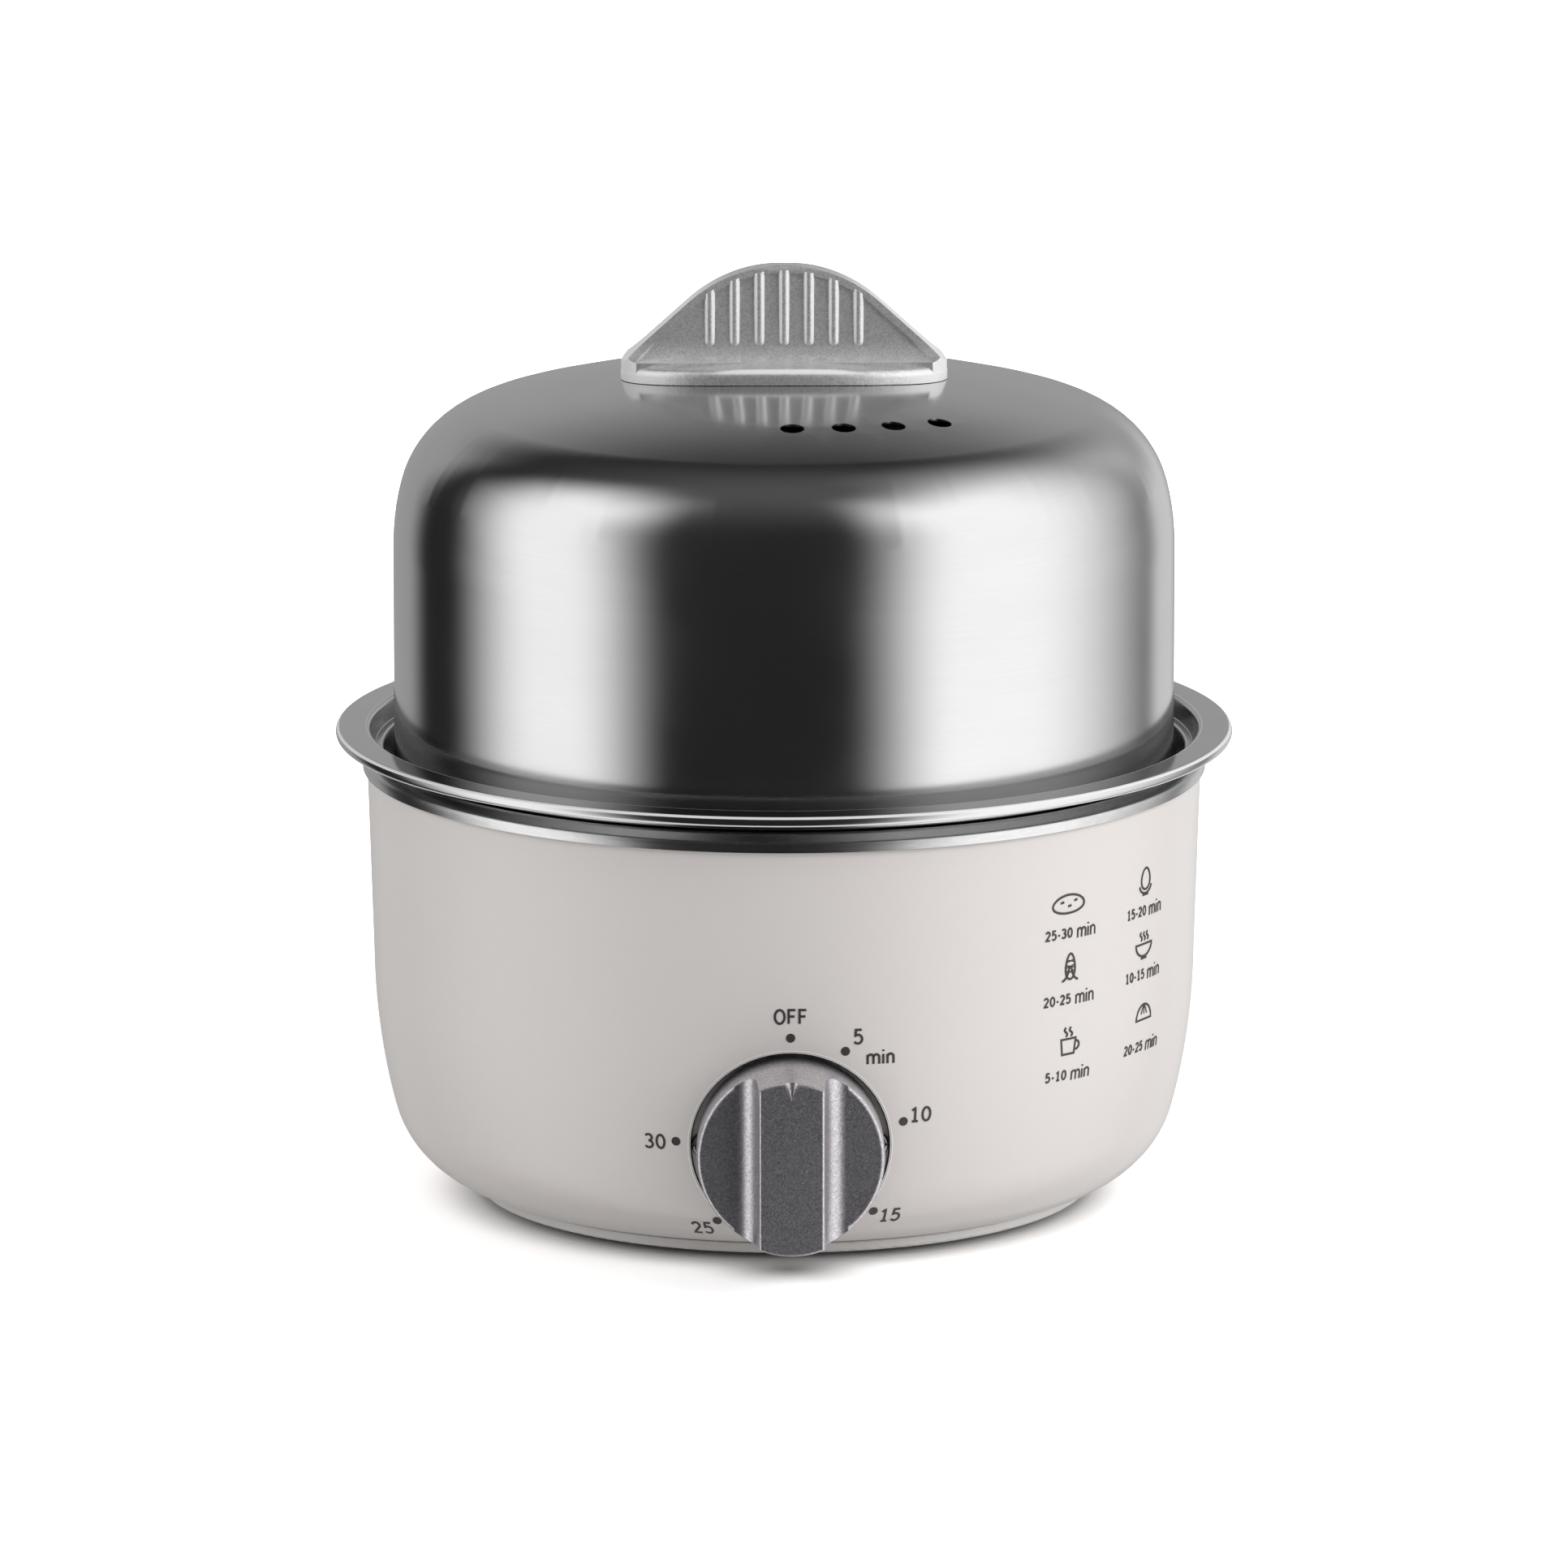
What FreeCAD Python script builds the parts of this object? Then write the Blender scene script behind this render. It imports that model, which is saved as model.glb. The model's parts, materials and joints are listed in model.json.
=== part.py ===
import FreeCAD, Part
import math
import os

# Shop egg boiler: a moulded base with a water basin and a dial timer, a flanged egg tray that hangs
# in the basin, a steaming bowl on the tray, and a domed lid. Millimetres, +Z up, the upright axis of
# the pan on Z, the dial at the front on -Y, and Z = 0 on the surface that the feet stand on.

Vector = FreeCAD.Vector
os.makedirs("parts", exist_ok=True)

# Sheets, walls and gaps
SHEET = 0.5
HOUSING_WALL = 2.4
PIN_GAP = 0.1
RUNNING_GAP = 0.05
LIFT_GAP = 0.3

# Housing outline, from its top edge down to the opening for the bottom cover
HOUSING_TOP_Z = 92.0
HOUSING_TOP_R = 87.73
HOUSING_TAPER_DEG = 1.8
HOUSING_STRAIGHT = 43.5
HOUSING_SIDE_ARC = 130.0
HOUSING_SIDE_TURN_DEG = 13.0
HOUSING_FOOT_ARC = 21.5
TOP_BEVEL_HEIGHT = 2.2
TOP_BEVEL_DEPTH = 0.45
LIP_BORE_R = 86.2
LIP_BORE_DEPTH = 5.5
SCREW_HOLE_R = 1.5
SCREW_HOLE_DEPTH = 10.0
CLEARANCE_HOLE_R = 1.6

# Bottom cover and feet
COVER_BOTTOM_Z = 1.2
COVER_R = 64.8
COVER_LIP_HEIGHT = 3.2
COVER_LIP_WALL = 1.6
COVER_LIP_GAP = 0.4
COVER_EDGE_R = 0.8
COVER_TOP_EDGE_R = 0.3
COVER_SCREW_CIRCLE_R = 56.5
COVER_SCREW_ANGLES = (90, 210, 330)
COVER_BOSS_R = 3.6
COVER_BOSS_TOP_Z = 16.0
COVER_WEB_BOTTOM_Z = 7.2
COVER_WEB_WIDTH = 2.4
COVER_SCREW_HEAD_R = 2.8
COVER_SCREW_HEAD_HEIGHT = 0.9
COVER_SCREW_LENGTH = 10.0
COVER_SEAT_R = 3.2
FOOT_CIRCLE_R = 53.0
FOOT_ANGLES = (45, 135, 225, 315)
FOOT_R = 6.5
FOOT_RECESS = 1.0
FOOT_SEAT_GAP = 0.2
FOOT_EDGE = 0.5
FOOT_STEM_R = 1.5
FOOT_BARB_R = 2.1
FOOT_BARB_HEIGHT = 2.0
FOOT_TIP_R = 1.1
VENT_SLOT_COUNT = 9
VENT_SLOT_PITCH = 5.0
VENT_SLOT_WIDTH = 2.2
VENT_SLOT_START_Y = -42.0
VENT_SLOT_END_Y = -8.0

# Basin, the fixed water pan
BASIN_RIM_R = 88.4
BASIN_RIM_BOTTOM_Z = 91.5
BASIN_RIM_TOP_Z = 95.4
BASIN_RIM_SIDE = 1.6
BASIN_RIM_SLOPE = 1.8
BASIN_NECK_R = 85.45
BASIN_NECK_BOTTOM_Z = 89.0
BASIN_WALL_TOP_Z = 86.0
BASIN_WALL_R = 82.25
BASIN_WALL_DRAFT = 0.3
BASIN_FLOOR_Z = 56.0
BASIN_CORNER_R = 10.25

# Heater under the basin
HEATER_R = 45.0
HEATER_THICKNESS = 8.0
HEATER_EDGE_R = 1.5
HEATER_TOP_EDGE_R = 0.5
ELEMENT_CIRCLE_R = 36.0
ELEMENT_TUBE_R = 3.3
ELEMENT_GAP_DEG = 60.0
ELEMENT_BEND_R = 7.0
ELEMENT_LEG_END_Z = 36.0
ELEMENT_PIN_R = 1.2
ELEMENT_PIN_LENGTH = 3.0
SPADE_LENGTH = 5.0
SPADE_WIDTH = 6.3
SPADE_THICKNESS = 0.8
REFLECTOR_R = 47.0
REFLECTOR_Z = 33.5
REFLECTOR_THICKNESS = 0.6
REFLECTOR_BORE_R = 13.0
REFLECTOR_LEG_HOLE_R = 4.6
STUD_CIRCLE_R = 24.0
STUD_ANGLES = (30, 150, 270)
STUD_R = 1.5
STUD_END_Z = 29.0
NUT_FLATS = 5.5
NUT_HEIGHT = 2.4

# Thermostat and thermal fuse under the heater
THERMOSTAT_CAP_R = 8.3
THERMOSTAT_CAP_HEIGHT = 3.4
THERMOSTAT_BODY_R = 7.8
THERMOSTAT_BODY_HEIGHT = 8.5
THERMOSTAT_BODY_EDGE_R = 0.8
THERMOSTAT_EAR_X = 11.5
THERMOSTAT_EAR_LENGTH = 30.0
THERMOSTAT_EAR_WIDTH = 7.0
THERMOSTAT_EAR_THICKNESS = 0.7
THERMOSTAT_TAB_X = 5.0
THERMOSTAT_TAB_LENGTH = 6.0
SPACER_R = 2.6
FUSE_R = 1.9
FUSE_LENGTH = 11.0
FUSE_LEAD_R = 0.5
FUSE_LEAD_LENGTH = 23.0
FUSE_Y = 22.0
CLIP_WIDTH = 5.0
CLIP_THICKNESS = 0.6
CLIP_EAR_REACH = 8.0
CLIP_HOLE_OFFSET = 5.6
CLIP_HOLE_R = 1.2

# Brackets that carry the basin on posts of the housing
BRACKET_ANGLES = (45, 135, 225, 315)
POST_CIRCLE_R = 66.0
POST_R = 4.0
POST_ROOT_Z = 5.6
POST_TOP_Z = 30.0
BRACKET_WIDTH = 12.0
BRACKET_THICKNESS = 1.0
BRACKET_INNER_R = 60.0
BRACKET_LEG_R = 71.0
BRACKET_SCREW_HEAD_R = 2.8
BRACKET_SCREW_HEAD_HEIGHT = 1.8
SCREW_SHANK_R = 1.4

# Dial pocket, knob and timer, along the knob's axis: depths are measured forwards from the pan's axis
KNOB_Z = 28.4
POCKET_R = 20.6
POCKET_WALL = 2.0
POCKET_FLOOR = 79.5
POCKET_BACK = 77.5
STANDOFF_X = 17.5
STANDOFF_R = 3.0
STANDOFF_HOLE_R = 1.3
POCKET_BORE_R = 4.4
PLATE_FRONT = 75.6
PLATE_BACK = 74.6
PLATE_LENGTH = 44.0
PLATE_HEIGHT = 30.0
BUSH_R = 4.2
BUSH_LENGTH = 3.0
KNOB_BACK = 81.8
KNOB_WING = 93.6
KNOB_FRONT = 104.0
KNOB_R = 19.3
KNOB_FRONT_R = 18.1
KNOB_BAR_WIDTH = 13.4
KNOB_BAR_DRAFT = 0.6
KNOB_BAR_COVE = 4.4
KNOB_BAR_EDGE_R = 0.6
KNOB_CONE_DEPTH = 1.2
KNOB_BACK_EDGE_R = 0.4
KNOB_WING_EDGE_R = 0.9
KNOB_FRONT_EDGE_R = 0.7
KNOB_NOTCH_R = 1.7
KNOB_NOTCH_LENGTH = 4.2
KNOB_NOTCH_START = 3.8
KNOB_HOLLOW_R = 17.3
KNOB_HOLLOW_DEPTH = 8.0
KNOB_HUB_R = 5.5
KNOB_CLIP_WIDTH = 3.2
KNOB_CLIP_THICKNESS = 0.35
KNOB_CLIP_INSET = 0.5
SHAFT_R = 3.0
SHAFT_FLAT = 2.2
SHAFT_FRONT = 98.5
SHAFT_FLAT_START = 84.0
SHAFT_PIVOT_R = 1.5
SHAFT_PIVOT_END = 54.0
CASE_R = 16.0
CASE_WALL = 0.8
CASE_BACK = 50.5
PIVOT_GAP = 0.1
WHEEL_MODULE = 0.3
MAIN_WHEEL_TEETH = 60
PINION_TEETH = 12
ARBOR_ANGLE_DEG = 225.0
ARBOR_R = 0.8
ARBOR_HOLE_R = 0.85
ARBOR_HOLE_DEPTH = 0.6
ARBOR_TIP = 0.5
CAM_R = 9.0
CAM_BACK = 71.0
CAM_FRONT = 73.0
CAM_NOTCH_R = 1.8
CAM_NOTCH_Y = 9.4
WHEEL_BACK = 67.0
WHEEL_FRONT = 68.4
WHEEL_HOLE_COUNT = 5
WHEEL_HOLE_CIRCLE_R = 5.6
WHEEL_HOLE_R = 1.3
PINION_BACK = 66.6
PINION_FRONT = 69.0
PINION_BORE_R = 0.7
ESCAPE_TEETH = 15
ESCAPE_TIP_R = 3.6
ESCAPE_ROOT_R = 2.7
ESCAPE_BACK = 60.0
ESCAPE_THICKNESS = 0.9
BARREL_R = 6.8
BARREL_BACK = 55.5
BARREL_FRONT = 64.5
BARREL_BORE_GAP = 0.3
CONTACT_BLOCK_LEFT = -8.4
CONTACT_BLOCK_RIGHT = -5.0
CONTACT_BLOCK_LOW = 9.6
CONTACT_BLOCK_HIGH = 12.4
CONTACT_BLOCK_BACK = 69.5
BLADE_END = 7.5
BLADE_THICKNESS = 0.4
BLADE_BACK = 71.2
BLADE_FRONT = 72.8
BLADE_AND_BUTTON_Y = ((9.9, 10.3), (11.9, 11.3))
BUTTON_X = 6.0
BUTTON_R = 0.8
BUTTON_HEIGHT = 0.6
TIMER_TAB_X = 6.0
TIMER_TAB_DROP = -5.0
TIMER_TAB_WIDTH = 4.8
TIMER_TAB_END = 44.0
TIMER_SCREW_HEAD_HEIGHT = 1.6
TIMER_SCREW_SHANK_R = 1.2

# Flanged egg tray
FLANGE_R = 94.3
FLANGE_TOP_Z = 100.2
FLANGE_LIP_BOTTOM_Z = 98.0
FLANGE_LIP_RETURN = 1.5
FLANGE_BORE_R = 87.4
UPPER_LEDGE_Z = 96.2
UPPER_LEDGE_OUTER_R = 86.2
UPPER_LEDGE_INNER_R = 84.5
LID_LEDGE_Z = 90.0
LID_LEDGE_OUTER_R = 82.95
LID_LEDGE_INNER_R = 79.9
TRAY_FLOOR_Z = 72.0
TRAY_FLOOR_R = 76.75
TRAY_CORNER_R = 6.25
EGG_HOLE_R = 17.0
EGG_CIRCLE_R = 48.0
STEAM_HOLE_R = 3.0
STEAM_CIRCLES = (27.7, 60.0)
FLANGE_CURL_R = 0.7
FLANGE_EDGE_R = 0.9
HOLES_PER_CIRCLE = 6

# Steaming bowl
BOWL_RIM_R = 75.0
BOWL_HEIGHT = 37.0
BOWL_RIM_LIP = 1.6
BOWL_WALL_R = 70.3
BOWL_SHOULDER_R = 69.3
BOWL_SHOULDER_HEIGHT = 18.0
BOWL_FLOOR_R = 54.0
BOWL_STEP_R = 34.0
BOWL_STEP_HEIGHT = 0.9
BOWL_STEP_RUN = 1.5

# Lid
LID_R = 82.0
LID_WALL_TOP_Z = 138.8
LID_LOWER_ARC = 51.6
LID_LOWER_TURN_DEG = 14.8
LID_CORNER_ARC = 22.4
LID_CROWN_ARC = 256.4
VENT_HOLE_R = 2.5
VENT_ARC_R = 61.5
VENT_ARC_CENTRE_Y = 15.0
VENT_FIRST_DEG = -89.1
VENT_STEP_DEG = 10.0
VENT_HOLE_COUNT = 4
LID_SCREW_HOLE_R = 1.8

# Lid handle: an oval dished foot that follows the dome, and an upright fin with an arched top
HANDLE_LENGTH = 68.4
HANDLE_DEPTH = 36.0
HANDLE_TOP_ABOVE_LID = 22.0
HANDLE_FOOT_HEIGHT = 3.1
HANDLE_FOOT_EDGE = 1.6
HANDLE_FOOT_RIM = 1.8
HANDLE_DISH_DEPTH = 0.6
HANDLE_ARC = 30.0
HANDLE_FLANK_DEG = 42.0
FIN_TOP_THICKNESS = 5.2
FIN_ROOT_THICKNESS = 6.6
FIN_COVE = 4.5
FIN_TOP_EDGE = 1.2
FIN_RIM_BAND = 1.5
FIN_PANEL_DEPTH = 0.6
RIB_COUNT = 7
RIB_PITCH = 5.18
RIB_WIDTH = 2.2
RIB_FOOT_ABOVE_LID = 5.9
HANDLE_SCREW_X = 20.0
HANDLE_SCREW_DEPTH = 11.0
HANDLE_SCREW_HEAD_R = 3.0
HANDLE_SCREW_HEAD_HEIGHT = 2.0
HANDLE_SCREW_LENGTH = 12.0
WASHER_R = 4.5
WASHER_THICKNESS = 0.8
GASKET_THICKNESS = 0.5
GASKET_INSET = 2.5

# Mains entry at the back
GLAND_Z = 28.0
GLAND_FLAT_Y = 83.4
GLAND_FLANGE_R = 8.0
GLAND_BODY_R = 5.5
GLAND_BORE_R = 3.3
GLAND_INNER_Y = 71.0
GLAND_NOSE_LENGTH = 5.0
GLAND_NOSE_ROOT_R = 6.4
GLAND_NOSE_TIP_R = 5.2
GLAND_FLANGE_THICKNESS = 2.2
GLAND_SEAT_GAP = 0.3
GLAND_NUT_FLATS = 15.0
GLAND_NUT_HEIGHT = 4.0
GLAND_NUT_Y = 74.0

# Wiring: routes are in the pieces' functions, from these places
WIRE_R = 1.2
WIRE_BEND_R = 6.0
TIGHT_BEND_R = 4.0
TIGHTEST_BEND_R = 3.0
BLOCK_BACK_Y = 46.0
BLOCK_FRONT_Y = 32.0
BLOCK_TOP_Z = 15.0
BLOCK_WIRE_Z = 10.0
BLOCK_LENGTH = 30.0
POLE_X = 9.0
POLE_HOLE_R = 2.0
POLE_SCREW_HEAD_R = 1.7
POLE_SCREW_HEAD_HEIGHT = 1.2
POLE_SCREW_LENGTH = 2.0
SUPPLY_CORE_X = 1.7
SUPPLY_DROP_Y = 57.0
LOW_ROUTE_Z = 14.0
HIGH_ROUTE_Z = 20.0


# Shapes that the pieces share

def at(r, z):
    """Point of a section that is turned about the Z axis."""
    return Vector(r, 0, z)


def polar(radius, degrees, z=0.0):
    """Point at a radius and an angle about the Z axis."""
    angle = math.radians(degrees)
    return Vector(radius * math.cos(angle), radius * math.sin(angle), z)


def rounded_wire(points, radii):
    """Closed wire through a polygon's points, with each corner rounded to its radius."""
    count = len(points)
    entries, exits, arcs = [], [], []
    for i in range(count):
        here = points[i]
        if radii[i] <= 0:
            entries.append(here)
            exits.append(here)
            arcs.append(None)
            continue
        back = (points[i - 1] - here).normalize()
        ahead = (points[(i + 1) % count] - here).normalize()
        half = back.getAngle(ahead) / 2
        reach = radii[i] / math.tan(half)
        bisector = (back + ahead).normalize()
        centre = here + bisector * (radii[i] / math.sin(half))
        entries.append(here + back * reach)
        exits.append(here + ahead * reach)
        arcs.append(Part.Arc(entries[i], centre - bisector * radii[i], exits[i]).toShape())
    edges = []
    for i in range(count):
        if arcs[i]:
            edges.append(arcs[i])
        following = entries[(i + 1) % count]
        if exits[i].distanceToPoint(following) > 1e-6:
            edges.append(Part.makeLine(exits[i], following))
    return Part.Wire(edges)


def polygon_prism(points, radii, direction):
    """Prism on a polygon with rounded corners."""
    return Part.Face(rounded_wire(points, radii)).extrude(direction)


def turned(face):
    """Solid of revolution about the Z axis."""
    return face.revolve(Vector(0, 0, 0), Vector(0, 0, 1), 360)


def turned_polygon(points, radii=None):
    """Solid of revolution from (radius, height) corners."""
    corners = [at(r, z) for r, z in points]
    return turned(Part.Face(rounded_wire(corners, radii or [0] * len(corners))))


def turned_sheet(points, bends, thickness=SHEET):
    """Bent sheet of revolution from the line through the middle of its thickness."""
    half = thickness / 2
    sides = {1: [], -1: []}
    side_radii = {1: [], -1: []}
    count = len(points)
    headings = []
    for (r0, z0), (r1, z1) in zip(points, points[1:]):
        headings.append(math.atan2(z1 - z0, r1 - r0))
    for i, (r, z) in enumerate(points):
        into = headings[max(i - 1, 0)]
        out_of = headings[min(i, count - 2)]
        turn = math.remainder(out_of - into, 2 * math.pi)
        middle = into + turn / 2
        reach = half / math.cos(turn / 2)
        for side in (1, -1):
            sides[side].append(at(r - side * reach * math.sin(middle), z + side * reach * math.cos(middle)))
            bend = 0.0
            if 0 < i < count - 1:
                bend = max(bends[i] - math.copysign(half, turn) * side, 0.0)
            side_radii[side].append(bend)
    corners = sides[1] + sides[-1][::-1]
    return turned(Part.Face(rounded_wire(corners, side_radii[1] + side_radii[-1][::-1])))


def path_edges(start, heading_deg, moves, offset=0.0):
    """Edges of lines and tangent arcs in a section, shifted to the left of the path by offset.

    A move is a length for a line, or a (radius, turn in degrees) pair for an arc, left turns positive."""
    heading = math.radians(heading_deg)
    here = at(start[0] - offset * math.sin(heading), start[1] + offset * math.cos(heading))
    edges = []
    for move in moves:
        if not isinstance(move, tuple):
            following = here + at(math.cos(heading), math.sin(heading)) * move
            edges.append(Part.makeLine(here, following))
            here = following
            continue
        side = math.copysign(1, move[1])
        radius = move[0] - side * offset
        turn = math.radians(move[1])
        centre = here + at(-math.sin(heading), math.cos(heading)) * (side * radius)

        def on_arc(angle):
            return centre + at(math.sin(angle), -math.cos(angle)) * (side * radius)

        edges.append(Part.Arc(here, on_arc(heading + turn / 2), on_arc(heading + turn)).toShape())
        heading += turn
        here = on_arc(heading)
    return edges


def ends(edges):
    """First and last point of a run of edges."""
    return edges[0].Vertexes[0].Point, edges[-1].Vertexes[-1].Point


def face_of(edges):
    """Face inside edges that close on each other, in any order."""
    return Part.Face(Part.Wire(Part.sortEdges(edges)[0]))


def cylinder(radius, z0, z1, x=0.0, y=0.0):
    """Upright cylinder between two heights."""
    return Part.makeCylinder(radius, z1 - z0, Vector(x, y, z0))


def box(x0, x1, y0, y1, z0, z1):
    """Box between two corners."""
    return Part.makeBox(x1 - x0, y1 - y0, z1 - z0, Vector(x0, y0, z0))


def spun(shape, degrees):
    """Copy of a shape turned about the Z axis."""
    copy = shape.copy()
    copy.rotate(Vector(0, 0, 0), Vector(0, 0, 1), degrees)
    return copy


def on_front(shape):
    """Moves a piece built upright, with its height as depth, onto the knob's axis at the front."""
    copy = shape.copy()
    copy.rotate(Vector(0, 0, 0), Vector(1, 0, 0), 90)
    copy.translate(Vector(0, 0, KNOB_Z))
    return copy


def joined(shapes):
    """One solid out of shapes that touch or overlap."""
    return shapes[0].multiFuse(shapes[1:]).removeSplitter()


def group(shapes):
    """Separate solids of one node."""
    return Part.makeCompound(shapes)


def screw(head_r, head_height, shank_r, length, slot=0.6):
    """Pan-head screw that hangs down from Z = 0 under its head, with a slot across the head."""
    head = turned_polygon([(0, 0), (head_r, 0), (head_r, head_height), (0, head_height)],
                          [0, 0, head_height * 0.45, 0])
    shank = cylinder(shank_r, -length, 0)
    groove = box(-head_r, head_r, -slot / 2, slot / 2, head_height * 0.5, head_height + 1)
    return head.fuse(shank).removeSplitter().cut(groove)


def placed(shape, point, axis=Vector(0, 0, 1)):
    """Copy of an upright shape moved to a point, with its +Z turned to an axis."""
    copy = shape.copy()
    copy.Placement = FreeCAD.Placement(point, FreeCAD.Rotation(Vector(0, 0, 1), axis))
    return copy


def hexagon(flats, z0, z1, bore_r):
    """Hexagon nut between two heights."""
    corners = [polar(flats / math.sqrt(3), 60 * i, z0) for i in range(6)]
    return polygon_prism(corners, [0] * 6, Vector(0, 0, z1 - z0)).cut(cylinder(bore_r, z0, z1))


def tube(points, bend_r, radius):
    """Round wire along straight runs joined by tangent arcs."""
    edges = []
    here = points[0]
    for before, corner, after in zip(points, points[1:], points[2:]):
        back = (before - corner).normalize()
        ahead = (after - corner).normalize()
        half = back.getAngle(ahead) / 2
        reach = bend_r / math.tan(half)
        bisector = (back + ahead).normalize()
        middle = corner + bisector * (bend_r / math.sin(half) - bend_r)
        edges.append(Part.makeLine(here, corner + back * reach))
        here = corner + ahead * reach
        edges.append(Part.Arc(corner + back * reach, middle, here).toShape())
    edges.append(Part.makeLine(here, points[-1]))
    path = Part.Wire(edges)
    heading = (points[1] - points[0]).normalize()
    section = Part.Wire([Part.makeCircle(radius, points[0], heading)])
    return path.makePipeShell([section], True, False)


def gear(teeth, module, z0, z1, bore_r):
    """Small clock wheel with straight-sided teeth that leave play on both sides."""
    pitch_r = teeth * module / 2
    tip_r = pitch_r + 0.8 * module
    root_r = pitch_r - 1.2 * module
    pitch_deg = 360 / teeth
    corners = []
    for i in range(teeth):
        for radius, share in ((root_r, -0.28), (tip_r, -0.11), (tip_r, 0.11), (root_r, 0.28)):
            corners.append(polar(radius, pitch_deg * (i + share), z0))
    blank = polygon_prism(corners, [0] * len(corners), Vector(0, 0, z1 - z0))
    return blank.cut(cylinder(bore_r, z0, z1))


def write(name, shape):
    """Writes one node and stops on a shape that isn't made of valid closed solids."""
    if not shape.Solids or not shape.isValid():
        raise ValueError(f"{name} isn't a valid solid")
    shape.exportStep(f"parts/{name}.step")
    print(f"{name}: {len(shape.Solids)} solids, {shape.Volume:.0f} mm3")


# Housing

HOUSING_HEADING_DEG = -90 - HOUSING_TAPER_DEG
HOUSING_MOVES = [
    HOUSING_STRAIGHT,
    (HOUSING_SIDE_ARC, -HOUSING_SIDE_TURN_DEG),
    (HOUSING_FOOT_ARC, -(90 - HOUSING_TAPER_DEG - HOUSING_SIDE_TURN_DEG)),
]
HOUSING_OUTSIDE = path_edges((HOUSING_TOP_R, HOUSING_TOP_Z), HOUSING_HEADING_DEG, HOUSING_MOVES)
HOUSING_FOOT = ends(HOUSING_OUTSIDE)[1]
OPENING_R = HOUSING_FOOT.x
OPENING_Z = HOUSING_FOOT.z


def housing_envelope():
    """Solid out to the housing's outer surface."""
    top, foot = ends(HOUSING_OUTSIDE)
    corners = [at(0, foot.z), at(0, top.z)]
    closing = [
        Part.makeLine(foot, corners[0]),
        Part.makeLine(corners[0], corners[1]),
        Part.makeLine(corners[1], top),
    ]
    return turned(face_of(HOUSING_OUTSIDE + closing))


def housing_shell():
    """Wall of the housing, bevelled outside at the top and thinned inside to take the basin's neck."""
    inside = path_edges((HOUSING_TOP_R, HOUSING_TOP_Z), HOUSING_HEADING_DEG, HOUSING_MOVES, -HOUSING_WALL)
    top_out, foot_out = ends(HOUSING_OUTSIDE)
    top_in, foot_in = ends(inside)
    closing = [Part.makeLine(top_out, top_in), Part.makeLine(foot_out, foot_in)]
    shell = turned(face_of(HOUSING_OUTSIDE + inside + closing))
    top = HOUSING_TOP_Z + 1
    neck_bore = cylinder(LIP_BORE_R, HOUSING_TOP_Z - LIP_BORE_DEPTH, top)
    bevel_low = HOUSING_TOP_Z - TOP_BEVEL_HEIGHT
    bevel_r = HOUSING_TOP_R - TOP_BEVEL_HEIGHT * math.tan(math.radians(HOUSING_TAPER_DEG))
    bevel = turned_polygon([
        (bevel_r, bevel_low),
        (bevel_r + TOP_BEVEL_DEPTH + 2, bevel_low),
        (bevel_r + TOP_BEVEL_DEPTH + 2, top),
        (bevel_r - TOP_BEVEL_DEPTH, top),
    ])
    return shell.cut(neck_bore).cut(bevel)


def cover_boss():
    """Screw boss over the bottom cover, with the web that joins it to the wall."""
    boss = cylinder(COVER_BOSS_R, OPENING_Z, COVER_BOSS_TOP_Z, COVER_SCREW_CIRCLE_R)
    half = COVER_WEB_WIDTH / 2
    web = box(COVER_SCREW_CIRCLE_R, HOUSING_TOP_R, -half, half, COVER_WEB_BOTTOM_Z, COVER_BOSS_TOP_Z)
    return boss.fuse(web)


def make_housing():
    """Moulded housing with its dial pocket, bracket posts, cover bosses and mains entry."""
    envelope = housing_envelope()
    cup = on_front(cylinder(POCKET_R + POCKET_WALL, POCKET_BACK, KNOB_FRONT))
    supports = [spun(cover_boss(), a) for a in COVER_SCREW_ANGLES]
    for angle in BRACKET_ANGLES:
        foot = polar(POST_CIRCLE_R, angle)
        supports.append(cylinder(POST_R, POST_ROOT_Z, POST_TOP_Z, foot.x, foot.y))
    standoffs = [on_front(cylinder(STANDOFF_R, PLATE_FRONT, POCKET_FLOOR, s * STANDOFF_X)) for s in (-1, 1)]
    body = housing_shell().fuse(cup.common(envelope))
    for support in supports:
        body = body.fuse(support.common(envelope))
    body = body.fuse(standoffs)
    holes = [on_front(cylinder(POCKET_R, POCKET_FLOOR, KNOB_FRONT))]
    holes.append(on_front(cylinder(POCKET_BORE_R, PLATE_FRONT, POCKET_FLOOR + 1)))
    for side in (-1, 1):
        holes.append(on_front(cylinder(STANDOFF_HOLE_R, PLATE_FRONT, POCKET_FLOOR + 1, side * STANDOFF_X)))
    for angle in BRACKET_ANGLES:
        foot = polar(POST_CIRCLE_R, angle)
        holes.append(cylinder(SCREW_HOLE_R, POST_TOP_Z - SCREW_HOLE_DEPTH, POST_TOP_Z, foot.x, foot.y))
    for angle in COVER_SCREW_ANGLES:
        foot = polar(COVER_SCREW_CIRCLE_R, angle)
        holes.append(cylinder(SCREW_HOLE_R, OPENING_Z, OPENING_Z + SCREW_HOLE_DEPTH, foot.x, foot.y))
    back = Vector(0, 1, 0)
    holes.append(Part.makeCylinder(GLAND_FLANGE_R + GLAND_SEAT_GAP, 10, Vector(0, GLAND_FLAT_Y, GLAND_Z), back))
    holes.append(Part.makeCylinder(GLAND_BODY_R + PIN_GAP, 20, Vector(0, GLAND_INNER_Y, GLAND_Z), back))
    return body.cut(holes).removeSplitter()


# Bottom cover, its screws and the rubber feet

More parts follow.
